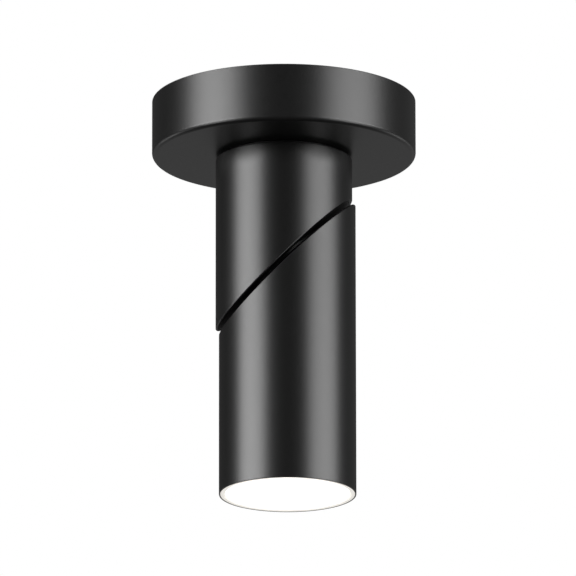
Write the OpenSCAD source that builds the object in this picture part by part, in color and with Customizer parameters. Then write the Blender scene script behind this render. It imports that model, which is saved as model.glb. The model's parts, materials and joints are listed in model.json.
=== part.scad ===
// Ceiling spotlight: a round canopy, a short neck and a tubular head that meet on one oblique cut.
// The origin is the centre of the ceiling plane, and the light hangs down along -Z.
// The neck swivels in the canopy, and the head turns about the axis square to the cut.

/* [Canopy] */
// Diameter of the round canopy
canopy_d = 116; // [114:0.5:150]
// Height of the canopy below the ceiling
canopy_h = 25.5; // [24:0.5:40]
// Wall thickness of the canopy
canopy_wall = 1.5; // [1:0.1:2]
// Radius of the canopy's lower edge
canopy_edge_r = 2; // [1:0.1:4]

/* [Ceiling bracket] */
// Width of the bracket's strip
strip_w = 24; // [20:1:28]
// Thickness of the bracket's sheet
strip_t = 1.5; // [1:0.1:2]
// Distance between the centres of the two fixing slots
slot_pitch = 70; // [66:1:76]
// Width of a fixing slot
slot_w = 4.5; // [4:0.1:6]
// Length of a fixing slot from end to end
slot_l = 14; // [8:1:16]
// Diameter of the hole for the supply cable
cable_hole_d = 20; // [14:1:24]
// Width of the ring of sheet round the cable hole
cable_ring_w = 7; // [4:0.5:8]
// Depth of the bent ears below the ceiling
ear_drop = 13; // [12:0.5:16]
// Inside radius of the ears' bends
ear_bend_r = 1.5; // [1:0.1:2]

/* [Tube] */
// Outside diameter of the neck and the head
tube_d = 60; // [56:0.5:66]
// Wall thickness of the neck and the head
tube_wall = 1.5; // [1.2:0.1:2]
// Length of the neck on its axis, from its top to the cut
neck_len = 48; // [44:0.5:70]
// Length of the head on its axis, from the cut to the mouth
head_len = 102.2; // [98:0.1:140]
// Tilt of the cut's axis from the vertical
cut_tilt = 45; // [40:1:46]
// Open gap between the neck and the head, square to the cut
elbow_gap = 2.1; // [1.5:0.1:3]
// Depth of the dark groove that the open gap makes at the sides of the elbow
groove_depth = 6; // [4:0.5:10]
// Flat left on the sharp tips of the cut
tip_flat = 0.5; // [0.3:0.1:1]
// Bevel on the turned edges of the tubes
edge_bevel = 0.3; // [0.2:0.05:0.6]

/* [Swivel and elbow joints] */
// Open gap between the canopy and the neck
swivel_gap = 1.6; // [1.5:0.1:3]
// Diameter of the slip pad in that gap
pad_d = 54.5; // [40:0.5:56]
// Outside diameter of the hollow pivots
pivot_d = 10; // [9:0.5:12]
// Bore of the hollow pivots
pivot_bore_d = 7; // [5:0.5:8]
// Thickness of the disc that closes the neck's top
cap_t = 4; // [3:0.5:6]
// Thickness of the plates that close the cut ends
plate_t = 4; // [3:0.5:5]
// Diameter of the elbow pivot's flange
flange_d = 18; // [16:0.5:22]
// Thickness of the elbow pivot's flange
flange_t = 2.5; // [2:0.5:3]
// Width of the pivot nuts across their flats
nut_af = 14; // [13:0.5:17]
// Height of the pivot nuts
nut_h = 4; // [3:0.5:5]
// Diameter of the slip, stop and spring washers
washer_d = 20; // [18:0.5:21]
// Thickness of a slip washer
slip_t = 0.8; // [0.5:0.1:1.2]
// Thickness of a stop washer
stop_t = 1; // [0.8:0.1:1.5]
// Sheet thickness of a spring washer
spring_t = 0.8; // [0.5:0.1:1]
// Height of a spring washer
spring_h = 1.4; // [1.2:0.1:2]
// Width of the stop washers' tab
tab_w = 4; // [3:0.5:5]
// Distance of the stop pins from the pivot's axis
stop_r = 15; // [14:0.5:16]
// Diameter of the stop pins
stop_pin_d = 3; // [2.5:0.5:4]
// Turn of the head from rest to its far stop
elbow_turn = 180; // [170:5:190]

/* [Driver and wiring] */
// Length of the driver's case
driver_l = 64; // [60:1:66]
// Height of the driver's case
driver_h = 17; // [16:0.5:17.5]
// Clearance between the driver's corners and the canopy's wall
driver_clear = 2.4; // [2:0.1:2.8]
// Clearance between the driver and the lamp's lead that runs beside it
lane_clear = 1.3; // [0.5:0.1:2]
// Thickness of the foam pad under the driver
foam_t = 1; // [0.5:0.1:1.2]
// Distance between the poles of the terminal block
pole_pitch = 9.5; // [9:0.5:10]
// Width of the terminal block along its wires
block_w = 14; // [12:0.5:16]
// Height of the terminal block
block_h = 12; // [11:0.5:14]
// Distance of the terminal block's near side from the canopy's axis
block_y = 22; // [22:0.5:24]
// Diameter of the lead that feeds the lamp
lead_d = 3.6; // [3:0.1:4]
// Bend radius of the lamp's lead in the canopy
lead_bend_r = 7; // [6.5:0.5:7.5]
// Diameter of a mains wire
wire_d = 2.4; // [2:0.1:2.8]
// Bend radius of the mains wires
wire_bend_r = 4; // [3:0.5:4.2]

/* [Light source] */
// Number of fins on the heat sink
fin_n = 12; // [8:4:12]
// Thickness of a fin
fin_t = 1.5; // [1:0.1:2]
// Height of the fins
fin_h = 28; // [20:1:30]
// Thickness of the heat sink's base
sink_base_t = 6; // [5:0.5:8]
// Diameter of the heat sink's core
sink_core_d = 16; // [12:0.5:17]
// Side of the square board with the light-emitting chip
board_side = 19; // [17:0.5:20]
// Thickness of that board
board_t = 1; // [0.8:0.1:1.6]
// Diameter of the light-emitting surface
emitter_d = 14.5; // [10:0.5:16]
// Diameter of the board's holder
holder_d = 42; // [40:0.5:44]
// Thickness of the board's holder
holder_t = 4; // [3.5:0.1:5]
// Depth of the reflector from the lip to its throat
bowl_h = 26; // [24:0.5:28]
// Wall thickness of the reflector
bowl_wall = 1.2; // [1:0.1:1.5]
// Inside diameter of the reflector's throat
throat_d = 28; // [24:0.5:30]
// Height of the diffuser above the reflector's lip
diffuser_z = 13.5; // [12:0.5:15]
// Thickness of the frosted glass diffuser
diffuser_t = 2; // [1.5:0.1:3]
// Width of the black rim round the mouth
rim_w = 0.5; // [0.4:0.1:1.2]
// Depth of the seat for the reflector's lip
lip_seat_h = 3; // [2:0.1:4]
// Recess of the reflector's lip in the mouth
lip_recess = 0.4; // [0:0.1:1]

/* [Fits] */
// Radial clearance of a pivot in the hole that it turns in
run_fit = 0.08; // [0.05:0.01:0.1]
// Clearance of pieces that slide into each other for assembly
slip_fit = 0.1; // [0.05:0.01:0.2]
// Radial clearance of a pressed pin or a threaded screw
press_fit = 0.02; // [0.01:0.01:0.05]
// Clearance between flat faces that slide on each other
face_gap = 0.1; // [0.05:0.01:0.2]

/* [Hidden] */
$fn = 64;

// A length that reaches past the whole light
reach = 4 * (canopy_d + head_len);
// Depth by which a cutting shape runs past the face it cuts
over = 1;

canopy_r = canopy_d / 2;
canopy_bore_r = canopy_r - canopy_wall;
floor_z = -canopy_h + canopy_wall;
inner_edge_r = max(canopy_edge_r - canopy_wall, 0.3);

// The bracket's flat ears stay inside the round wall over their whole width
ear_x = sqrt(pow(canopy_bore_r, 2) - pow(strip_w / 2, 2)) - 3 * slip_fit;
canopy_screw_d = 3;
// Height of the canopy's screws above the ears' ends
ear_margin = 5;
canopy_screw_z = -ear_drop + ear_margin;
earth_screw_d = 4;
// Shift of the earth screw from the middle between the cable hole and a slot
earth_shift = 3;
earth_at = [(cable_hole_d / 2 + slot_pitch / 2 - slot_l / 2) / 2 + earth_shift, -strip_w / 4];
ring_t = 0.8;
ring_r = 4;
barrel_l = 5;
barrel_r = 1.9;
// Length by which the barrel runs into the ring
barrel_lap = 0.3;

tube_r = tube_d / 2;
bore_r = tube_r - tube_wall;
plug_r = bore_r - slip_fit;
neck_top = -canopy_h - swivel_gap;
cut_z = neck_top - neck_len;
head_x = elbow_gap * sin(cut_tilt);
head_top = cut_z - elbow_gap * cos(cut_tilt);
mouth_z = head_top - head_len;
tip_rise = tan(cut_tilt);
plate_proud = (elbow_gap - face_gap) / 2;
boss_r = tube_r - groove_depth;

pivot_r = pivot_d / 2;
nut_r = nut_af / 2 / cos(30);
washer_r = washer_d / 2;
thread_stick = 1;
// Heights of the washers and the nut above the face that they press on
slip_z = face_gap;
stop_z = slip_z + slip_t;
spring_z = stop_z + stop_t;
nut_z = spring_z + spring_h;
stack_h = nut_z + nut_h + thread_stick;
pin_r = stop_pin_d / 2;
pin_h = spring_z + pin_r;
pin_depth = 3;
// Length by which the tab reaches past its pin
tab_spare = 1;
tab_reach = stop_r + pin_r + tab_spare;
// Angle left between tab and pin at the end of the turn
stop_spare = 1.5;
stop_angle = asin((pin_r + tab_w / 2) / stop_r) + stop_spare;
nipple_top = floor_z + stack_h;
locknut_z = neck_top - cap_t - nut_h;
nipple_end = locknut_z - thread_stick;
elbow_end = elbow_gap + plate_t + stack_h;

driver_end = driver_l / 2;
driver_corner_r = 2.5;
// Height of the seam and size of the label's recess, as shares of the driver's case
seam_share = 0.7;
label_share = 0.6;
label_recess = 0.3;
seam_depth = 0.4;
seam_w = 0.6;
driver_z = floor_z + foam_t;
lead_r = lead_d / 2;
wire_r = wire_d / 2;
// Least straight stretch between two bends
straight = 0.5;
lead_z = nipple_top + lead_bend_r + straight / 2;
// The lamp's lead runs beside the driver, clear of the screws in the slots
lead_lane_y = 2 * lead_bend_r + straight;
// The driver fills the width between that lead and the canopy's wall
driver_near_y = lead_lane_y + lead_r + lane_clear;
driver_far_y = sqrt(pow(canopy_bore_r - driver_clear, 2) - pow(driver_end, 2));
driver_w = driver_far_y - driver_near_y;
driver_y = (driver_near_y + driver_far_y) / 2;
lead_turn_x = driver_end + lead_bend_r + 4 * straight;
block_wire_z = floor_z + block_h / 2;
block_l = 3 * pole_pitch;
pole_gap = 1.2;
pole_corner_r = 1;
pole_screw_r = 1.8;
pole_screw_l = block_h / 4;
pole_screw_y = block_w / 5;
// Height of the screws' lower ends above the block's foot
pole_screw_z = block_h / 2 + 2;
// Room round a wire in its hole
wire_room = 0.3;
near_lane_y = -block_y + wire_bend_r + straight;
far_lane_y = near_lane_y + wire_d + straight;
near_lane_x = -driver_end - wire_bend_r - straight;
far_lane_x = near_lane_x - wire_d - straight;
// Distance between the two wires where they enter the driver
pole_split = wire_d + 1.6;
wire_sides = 8;
bend_steps = 5;

barrel_z = -strip_t - barrel_r;
earth_corner = [pole_pitch, near_lane_y + straight];
earth_way = (earth_at - earth_corner) / norm(earth_at - earth_corner);
earth_end = earth_at - (ring_r + barrel_l) * earth_way;

lip_z = mouth_z + lip_recess;
lip_r = tube_r - rim_w - slip_fit;
lip_t = bowl_wall;
mouth_r = plug_r - bowl_wall;
throat_r = throat_d / 2;
throat_z = lip_z + bowl_h;
// Radius of the arc that joins the lip to the throat and stands upright at the lip
bowl_arc_r = (pow(mouth_r - throat_r, 2) + pow(bowl_h, 2)) / (2 * (mouth_r - throat_r));
bowl_steps = 12;
shelf_w = 1.6;
ring_h = 1;
holder_z = throat_z + bowl_wall + slip_fit;
sink_z = holder_z + holder_t;
fin_z = sink_z + sink_base_t;
emitter_t = 0.6;
emitter_margin = 1.5;
holder_hole_r = emitter_d / 2 + emitter_margin;
holder_screw_r = 1.5;
holder_screw_y = (holder_d / 2 + holder_hole_r) / 2;
holder_head_r = 2.8;
holder_head_t = 1.8;
// Metal left between a blind hole and the fins
hole_floor = 1;
holder_screw_l = sink_base_t + holder_t - holder_head_t - 2 * hole_floor;
// Bend radius of the lamp's lead in the neck and the head, in lead diameters
bend_ratio = 2.7;
inner_bend_r = bend_ratio * lead_d;
// Distance between the neck's two bends, in bend radii
bend_spread = 1.3;
lead_clear = 0.5;
hex_depth = 1;

// Where the lamp's lead turns onto and off the elbow's axis
neck_turn_s = -(plate_t + flange_t + inner_bend_r + straight);
head_turn_s = elbow_end + inner_bend_r * tan(cut_tilt / 2) + straight;
head_lead_x = head_turn_s * sin(cut_tilt);
neck_turn_z = cut_z - neck_turn_s * cos(cut_tilt) + bend_spread * inner_bend_r;

function on_elbow_axis(s) = [s * sin(cut_tilt), 0, cut_z - s * cos(cut_tilt)];
function unit(v) = v / norm(v);
function bowl_r(h) = mouth_r - bowl_arc_r + sqrt(pow(bowl_arc_r, 2) - pow(h, 2));

// Frames of the pieces
module at_elbow() {
    translate([0, 0, cut_z]) rotate([0, 180 - cut_tilt, 0]) children();
}

module at_elbow_seat() {
    at_elbow() translate([0, 0, elbow_gap + plate_t]) children();
}

module at_floor() {
    translate([0, 0, floor_z]) children();
}

module at_head() {
    translate([head_x, 0, 0]) children();
}

// One ring of points round a wire, square to its way
function wire_ring(at, way, side, r) =
    [for (k = [0 : wire_sides - 1])
        at + r * cos(k * 360 / wire_sides) * side + r * sin(k * 360 / wire_sides) * cross(way, side)];

// A vector turned by an angle about a unit axis
function turned(v, axis, angle) =
    v * cos(angle) + cross(axis, v) * sin(angle) + axis * (axis * v) * (1 - cos(angle));

// Rings round the bend at one corner of a route
function bend_rings(before, corner, after, side, r, bend_r) =
    let (
        way_in = unit(corner - before),
        way_out = unit(after - corner),
        turn = acos(way_in * way_out),
        axis = unit(cross(way_in, way_out)),
        inward = cross(axis, way_in),
        start = corner - bend_r * tan(turn / 2) * way_in,
        centre = start + bend_r * inward
    )
    [for (k = [0 : bend_steps])
        let (angle = turn * k / bend_steps)
        wire_ring(centre - bend_r * turned(inward, axis, angle), turned(way_in, axis, angle),
            turned(side, axis, angle), r)];

// All rings of a route, with the side vector carried round each bend without twist
function route_rings(points, side, r, bend_r, i = 1) =
    i == len(points) - 1
    ? [wire_ring(points[i], unit(points[i] - points[i - 1]), side, r)]
    : let (
        way_in = unit(points[i] - points[i - 1]),
        way_out = unit(points[i + 1] - points[i]),
        axis = unit(cross(way_in, way_out))
    )
    concat(
        bend_rings(points[i - 1], points[i], points[i + 1], side, r, bend_r),
        route_rings(points, turned(side, axis, acos(way_in * way_out)), r, bend_r, i + 1));

// A wire that follows points and is bent round each one between its ends
module routed_wire(points, r, bend_r) {
    way = unit(points[1] - points[0]);
    side = unit(abs(way[1]) < 0.9 ? cross([0, 1, 0], way) : cross([1, 0, 0], way));
    rings = concat([wire_ring(points[0], way, side, r)], route_rings(points, side, r, bend_r));
    last = len(rings) - 1;
    polyhedron(
        points = [for (ring = rings, p = ring) p],
        faces = concat(
            [[for (k = [0 : wire_sides - 1]) k]],
            [for (i = [0 : last - 1], k = [0 : wire_sides - 1], half = [0, 1])
                let (
                    a = i * wire_sides + k,
                    b = i * wire_sides + (k + 1) % wire_sides,
                    c = b + wire_sides,
                    d = a + wire_sides
                )
                half == 0 ? [a, d, c] : [a, c, b]],
            [[for (k = [wire_sides - 1 : -1 : 0]) last * wire_sides + k]]
        ),
        convexity = 6
    );
}

// Half section of a drum that hangs down from the ceiling plane and has a round lower edge
module drum_section(r, h, edge_r) {
    translate([0, -h]) square([r - edge_r, h]);
    translate([0, -h + edge_r]) square([r, h - edge_r]);
    translate([r - edge_r, -h + edge_r]) circle(edge_r);
}

module rounded_rectangle(w, d, r) {
    square([w - 2 * r, d], center = true);
    square([w, d - 2 * r], center = true);
    for (x = [-1, 1], y = [-1, 1]) {
        translate([x * (w / 2 - r), y * (d / 2 - r)]) circle(r);
    }
}

module slot_shape(w, l) {
    square([l - w, w], center = true);
    for (x = [-1, 1]) {
        translate([x * (l - w) / 2, 0]) circle(w / 2);
    }
}

// Washers and nut that both joints share, each from its own seat upwards
module flat_washer(z, t) {
    translate([0, 0, z]) difference() {
        cylinder(r = washer_r, h = t);
        translate([0, 0, -over]) cylinder(r = pivot_r + slip_fit, h = t + 2 * over);
    }
}

module tab_washer() {
    translate([0, 0, stop_z]) difference() {
        union() {
            cylinder(r = washer_r, h = stop_t);
            translate([0, -tab_w / 2, 0]) cube([tab_reach, tab_w, stop_t]);
        }
        translate([0, 0, -over]) cylinder(r = pivot_r + slip_fit, h = stop_t + 2 * over);
    }
}

module cone_spring() {
    translate([0, 0, spring_z]) rotate_extrude() polygon([
        [pivot_r + slip_fit, spring_h - spring_t],
        [washer_r, 0],
        [washer_r, spring_t],
        [pivot_r + slip_fit, spring_h]
    ]);
}

module hex_nut(z) {
    bevel = 0.5;
    translate([0, 0, z]) difference() {
        intersection() {
            cylinder(r = nut_r, h = nut_h, $fn = 6);
            rotate_extrude() polygon([
                [0, 0], [nut_af / 2, 0], [nut_r, bevel],
                [nut_r, nut_h - bevel], [nut_af / 2, nut_h], [0, nut_h]
            ]);
        }
        translate([0, 0, -over]) cylinder(r = pivot_r + press_fit, h = nut_h + 2 * over);
    }
}

module hollow_rod(z0, z1) {
    translate([0, 0, z0]) difference() {
        cylinder(r = pivot_r, h = z1 - z0);
        translate([0, 0, -over]) cylinder(r = pivot_bore_d / 2, h = z1 - z0 + 2 * over);
    }
}

// Canopy and what it holds
module canopy() {
    color("#1b1b1b") difference() {
        rotate_extrude() difference() {
            drum_section(canopy_r, canopy_h, canopy_edge_r);
            translate([0, over]) drum_section(canopy_bore_r, canopy_h - canopy_wall + over, inner_edge_r);
            translate([0, -canopy_h - over]) square([pivot_r + run_fit, canopy_h]);
        }
        for (side = [0, 180]) {
            rotate([0, 0, side]) translate([canopy_bore_r - over, 0, canopy_screw_z]) rotate([0, 90, 0])
                cylinder(r = canopy_screw_d / 2 + press_fit, h = canopy_wall + 2 * over);
        }
    }
}

module canopy_screws() {
    sink = 0.3;
    hex_r = 0.85;
    screw_start = ear_x - strip_t - thread_stick;
    screw_l = canopy_r - sink - screw_start;
    color("#2a2a2a") for (side = [0, 180]) {
        rotate([0, 0, side]) translate([screw_start, 0, canopy_screw_z]) rotate([0, 90, 0]) difference() {
            cylinder(r = canopy_screw_d / 2, h = screw_l);
            translate([0, 0, screw_l - hex_depth]) cylinder(r = hex_r, h = hex_depth + over, $fn = 6);
        }
    }
}

module ceiling_bracket() {
    flat_x = ear_x - strip_t - ear_bend_r;
    color("#b9bcc0") difference() {
        union() {
            translate([-flat_x, -strip_w / 2, -strip_t]) cube([2 * flat_x, strip_w, strip_t]);
            translate([0, 0, -strip_t]) cylinder(r = cable_hole_d / 2 + cable_ring_w, h = strip_t);
            for (side = [0, 180]) {
                rotate([0, 0, side]) bracket_ear(flat_x);
            }
        }
        translate([0, 0, -strip_t - over]) cylinder(d = cable_hole_d, h = strip_t + 2 * over);
        for (side = [-1, 1]) {
            translate([side * slot_pitch / 2, 0, -strip_t - over])
                linear_extrude(strip_t + 2 * over) slot_shape(slot_w, slot_l);
            translate([side * (flat_x + ear_bend_r - over), 0, canopy_screw_z]) rotate([0, side * 90, 0])
                cylinder(r = canopy_screw_d / 2 + slip_fit, h = strip_t + 2 * over);
        }
        translate([earth_at[0], earth_at[1], -strip_t - over])
            cylinder(r = earth_screw_d / 2 + press_fit, h = strip_t + 2 * over);
    }
}

// One ear with its bend, drawn as a section along the strip
module bracket_ear(flat_x) {
    outer_r = ear_bend_r + strip_t;
    translate([0, strip_w / 2, 0]) rotate([90, 0, 0]) linear_extrude(strip_w) {
        translate([flat_x - over, -strip_t]) square([over, strip_t]);
        translate([flat_x + ear_bend_r, -ear_drop]) square([strip_t, ear_drop - outer_r]);
        translate([flat_x, -outer_r]) intersection() {
            difference() {
                circle(outer_r);
                circle(ear_bend_r);
            }
            square([outer_r, outer_r]);
        }
    }
}

module stop_post() {
    color("#b9bcc0") at_floor() rotate([0, 0, 180]) translate([stop_r, 0, 0])
        cylinder(r = pin_r, h = pin_h);
}

module led_driver() {
    color("#e9e9e6") translate([0, driver_y, driver_z]) difference() {
        linear_extrude(driver_h) rounded_rectangle(driver_l, driver_w, driver_corner_r);
        translate([0, 0, driver_h * seam_share]) difference() {
            linear_extrude(seam_w) square([driver_l + over, driver_w + over], center = true);
            translate([0, 0, -over]) linear_extrude(seam_w + 2 * over)
                rounded_rectangle(driver_l - 2 * seam_depth, driver_w - 2 * seam_depth,
                    driver_corner_r - seam_depth);
        }
        translate([0, 0, driver_h - label_recess]) linear_extrude(label_recess + over)
            rounded_rectangle(driver_l * label_share, driver_w * label_share, driver_corner_r);
    }
}

module driver_foam_pad() {
    color("#8d9196") translate([0, driver_y, floor_z]) linear_extrude(foam_t)
        rounded_rectangle(driver_l - 2 * driver_corner_r, driver_w - 2 * driver_corner_r, driver_corner_r);
}

module terminal_block() {
    step_h = block_h * 0.6;
    color("#f2f0ea") translate([0, -block_y - block_w / 2, floor_z]) difference() {
        union() {
            translate([-block_l / 2, -block_w / 2, 0]) cube([block_l, block_w, step_h]);
            for (pole = [-1, 0, 1]) {
                translate([pole * pole_pitch, 0, 0]) linear_extrude(block_h)
                    rounded_rectangle(pole_pitch - pole_gap, block_w - 2 * pole_gap, pole_corner_r);
            }
        }
        for (pole = [-1, 0, 1]) {
            translate([pole * pole_pitch, -block_w / 2 - over, block_wire_z - floor_z]) rotate([-90, 0, 0])
                cylinder(r = wire_r + wire_room, h = block_w / 2);
            for (side = [-1, 1]) {
                translate([pole * pole_pitch, side * pole_screw_y, pole_screw_z])
                    cylinder(r = pole_screw_r + slip_fit, h = block_h);
            }
        }
    }
}

module terminal_screws() {
    slot_depth = 0.6;
    slot = 0.5;
    color("#c9a64a") translate([0, -block_y - block_w / 2, floor_z + pole_screw_z])
        for (pole = [-1, 0, 1], side = [-1, 1]) {
            translate([pole * pole_pitch, side * pole_screw_y, 0]) difference() {
                cylinder(r = pole_screw_r, h = pole_screw_l);
                translate([-pole_screw_r - over, -slot / 2, pole_screw_l - slot_depth])
                    cube([2 * (pole_screw_r + over), slot, slot_depth + over]);
            }
        }
}

module earth_terminal() {
    color("#d3d5d8") union() {
        translate([earth_at[0], earth_at[1], -strip_t - ring_t]) difference() {
            cylinder(r = ring_r, h = ring_t);
            translate([0, 0, -over]) cylinder(r = earth_screw_d / 2 + slip_fit, h = ring_t + 2 * over);
        }
        translate([earth_end[0], earth_end[1], barrel_z])
            rotate([0, 90, atan2(earth_way[1], earth_way[0])])
                cylinder(r = barrel_r, h = barrel_l + barrel_lap);
    }
}

module earth_screw() {
    head_r = 3.5;
    head_t = 2.4;
    slot = 1;
    color("#c9a64a") translate([earth_at[0], earth_at[1], -strip_t - ring_t]) difference() {
        union() {
            translate([0, 0, -head_t]) cylinder(r = head_r, h = head_t);
            translate([0, 0, -over]) cylinder(r = earth_screw_d / 2, h = over + ring_t + strip_t);
        }
        translate([-head_r - over, -slot / 2, -head_t - over])
            cube([2 * (head_r + over), slot, slot + over]);
    }
}

module live_wire() {
    color("#7a4a2b") routed_wire([
        [-pole_pitch, -block_y, block_wire_z],
        [-pole_pitch, near_lane_y, block_wire_z],
        [far_lane_x, near_lane_y, block_wire_z],
        [far_lane_x, driver_y + pole_split / 2, block_wire_z],
        [-driver_end, driver_y + pole_split / 2, block_wire_z]
    ], wire_r, wire_bend_r);
}

module neutral_wire() {
    color("#2f5f9e") routed_wire([
        [0, -block_y, block_wire_z],
        [0, far_lane_y, block_wire_z],
        [near_lane_x, far_lane_y, block_wire_z],
        [near_lane_x, driver_y - pole_split / 2, block_wire_z],
        [-driver_end, driver_y - pole_split / 2, block_wire_z]
    ], wire_r, wire_bend_r);
}

module earth_wire() {
    color("#6f8f3a") routed_wire([
        [earth_corner[0], -block_y, block_wire_z],
        [earth_corner[0], earth_corner[1], block_wire_z],
        [earth_corner[0], earth_corner[1], barrel_z],
        concat(earth_end, barrel_z)
    ], wire_r, wire_bend_r);
}

module driver_lead() {
    color("#e7e4dc") routed_wire([
        [0, 0, nipple_top],
        [0, 0, lead_z],
        [0, lead_lane_y, lead_z],
        [lead_turn_x, lead_lane_y, lead_z],
        [lead_turn_x, driver_y, lead_z],
        [driver_end, driver_y, lead_z]
    ], lead_r, lead_bend_r);
}

// Neck and the swivel that hangs it in the canopy
module swivel_pad() {
    color("#111111") translate([0, 0, neck_top]) difference() {
        cylinder(d = pad_d, h = swivel_gap - face_gap);
        translate([0, 0, -over]) cylinder(r = pivot_r + slip_fit, h = swivel_gap + 2 * over);
    }
}

module swivel_slip_washer() {
    color("#efeee8") at_floor() flat_washer(slip_z, slip_t);
}

module swivel_stop_washer() {
    color("#c4c6c9") at_floor() tab_washer();
}

module swivel_spring_washer() {
    color("#9a9ea3") at_floor() cone_spring();
}

module swivel_nut() {
    color("#c8a94f") at_floor() hex_nut(nut_z);
}

module swivel_nipple() {
    color("#c8a94f") hollow_rod(nipple_end, nipple_top);
}

module neck_cap() {
    color("#8f9296") translate([0, 0, neck_top - cap_t]) difference() {
        cylinder(r = plug_r, h = cap_t);
        translate([0, 0, -over]) cylinder(r = pivot_r + press_fit, h = cap_t + 2 * over);
    }
}

module cap_locknut() {
    color("#c8a94f") hex_nut(locknut_z);
}

// A tube's wall from one height to another, with bevelled edges on both ends
module turned_tube(z0, z1) {
    translate([0, 0, z0]) rotate_extrude() polygon([
        [bore_r, 0],
        [tube_r - edge_bevel, 0],
        [tube_r, edge_bevel],
        [tube_r, z1 - z0 - edge_bevel],
        [tube_r - edge_bevel, z1 - z0],
        [bore_r, z1 - z0]
    ]);
}

module neck_tube() {
    tip_z = cut_z - tube_r * tip_rise;
    color("#1b1b1b") difference() {
        turned_tube(tip_z - over, neck_top);
        at_elbow() translate([-reach / 2, -reach / 2, 0]) cube(reach);
        translate([-reach / 2, -reach / 2, tip_z + tip_flat - reach]) cube(reach);
    }
}

// Oblique plate that fills the tube's bore between two heights square to the cut, and its round boss,
// which turns on the other plate's boss. The boss starts inside the plate and stands proud of it.
module end_plate(x, s0, boss_s) {
    difference() {
        union() {
            intersection() {
                translate([x, 0, cut_z - reach / 4]) cylinder(r = plug_r, h = reach / 2);
                at_elbow() translate([-reach / 2, -reach / 2, s0]) cube([reach, reach, plate_t]);
            }
            at_elbow() translate([0, 0, boss_s]) cylinder(r = boss_r, h = plate_proud + plate_t / 2);
        }
        children();
    }
}

module neck_end_plate() {
    color("#17181a") end_plate(0, -plate_t, -plate_t / 2) {
        at_elbow() translate([0, 0, -plate_t - over])
            cylinder(r = pivot_r + press_fit, h = plate_t + elbow_gap + 2 * over);
    }
}

module elbow_pivot() {
    color("#b9bcc0") at_elbow() difference() {
        union() {
            translate([0, 0, -plate_t - flange_t]) cylinder(d = flange_d, h = flange_t);
            translate([0, 0, -plate_t]) cylinder(r = pivot_r, h = plate_t + elbow_end);
        }
        translate([0, 0, -plate_t - flange_t - over])
            cylinder(d = pivot_bore_d, h = plate_t + flange_t + elbow_end + 2 * over);
    }
}

module elbow_slip_washer() {
    color("#efeee8") at_elbow_seat() flat_washer(slip_z, slip_t);
}

module elbow_stop_washer() {
    color("#c4c6c9") at_elbow_seat() rotate([0, 0, elbow_turn + stop_angle]) tab_washer();
}

module elbow_spring_washer() {
    color("#9a9ea3") at_elbow_seat() cone_spring();
}

module elbow_nut() {
    color("#b9bcc0") at_elbow_seat() hex_nut(nut_z);
}

module neck_lead() {
    color("#e7e4dc") routed_wire([
        [0, 0, nipple_top - face_gap],
        [0, 0, neck_turn_z],
        on_elbow_axis(neck_turn_s),
        on_elbow_axis(elbow_end)
    ], lead_r, inner_bend_r);
}

// Head and the light source in it
module head_end_plate() {
    color("#17181a") end_plate(head_x, elbow_gap, elbow_gap - plate_proud) {
        at_elbow() cylinder(r = pivot_r + run_fit, h = plate_t + elbow_gap + over);
        at_elbow_seat() translate([stop_r, 0, -pin_depth])
            cylinder(r = pin_r + press_fit, h = pin_depth + over);
    }
}

module elbow_stop_pin() {
    color("#b9bcc0") at_elbow_seat() translate([stop_r, 0, -pin_depth])
        cylinder(r = pin_r, h = pin_depth + pin_h);
}

module head_tube() {
    tip_z = head_top + tube_r * tip_rise;
    color("#1b1b1b") difference() {
        at_head() turned_tube(mouth_z, tip_z + over);
        at_head() translate([0, 0, mouth_z - over]) cylinder(r = tube_r - rim_w, h = lip_seat_h + over);
        at_elbow() translate([-reach / 2, -reach / 2, elbow_gap - reach]) cube(reach);
        translate([-reach / 2, -reach / 2, tip_z - tip_flat]) cube(reach);
    }
}

module heat_sink() {
    color("#aeb2b6") difference() {
        at_head() intersection() {
            union() {
                translate([0, 0, sink_z]) cylinder(r = plug_r, h = sink_base_t);
                translate([0, 0, sink_z]) cylinder(d = sink_core_d, h = sink_base_t + fin_h);
                for (fin = [0 : fin_n - 1]) {
                    rotate([0, 0, (fin + 0.5) * 360 / fin_n])
                        translate([0, -fin_t / 2, fin_z]) cube([tube_r, fin_t, fin_h]);
                }
            }
            translate([0, 0, sink_z - over]) cylinder(r = plug_r, h = sink_base_t + fin_h + 2 * over);
        }
        translate([head_lead_x, 0, sink_z - over])
            cylinder(r = lead_r + lead_clear, h = sink_base_t + fin_h + 2 * over);
        for (side = [-1, 1]) {
            at_head() translate([0, side * holder_screw_y, sink_z - over])
                cylinder(r = holder_screw_r + press_fit, h = sink_base_t - hole_floor + over);
        }
    }
}

module led_board() {
    color("#f4f4f0") at_head() translate([-board_side / 2, -board_side / 2, sink_z - board_t])
        cube([board_side, board_side, board_t]);
}

module led_emitter() {
    color("#f0c53a") at_head() translate([0, 0, sink_z - board_t - emitter_t])
        cylinder(d = emitter_d, h = emitter_t);
}

module led_holder() {
    pocket = board_side + 2 * slip_fit;
    color("#ededea") at_head() translate([0, 0, holder_z]) difference() {
        cylinder(d = holder_d, h = holder_t);
        translate([0, 0, -over]) cylinder(r = holder_hole_r, h = holder_t + 2 * over);
        translate([-pocket / 2, -pocket / 2, holder_t - board_t]) cube([pocket, pocket, board_t + over]);
        for (side = [-1, 1]) {
            translate([0, side * holder_screw_y, -over]) {
                cylinder(r = holder_screw_r + slip_fit, h = holder_t + 2 * over);
                cylinder(r = holder_head_r + slip_fit, h = holder_head_t + over);
            }
        }
    }
}

module holder_screws() {
    hex_r = 1.2;
    color("#b9bcc0") for (side = [-1, 1]) {
        at_head() translate([0, side * holder_screw_y, holder_z]) difference() {
            union() {
                cylinder(r = holder_head_r, h = holder_head_t);
                cylinder(r = holder_screw_r, h = holder_head_t + holder_screw_l);
            }
            translate([0, 0, -over]) cylinder(r = hex_r, h = hex_depth + over, $fn = 6);
        }
    }
}

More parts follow.
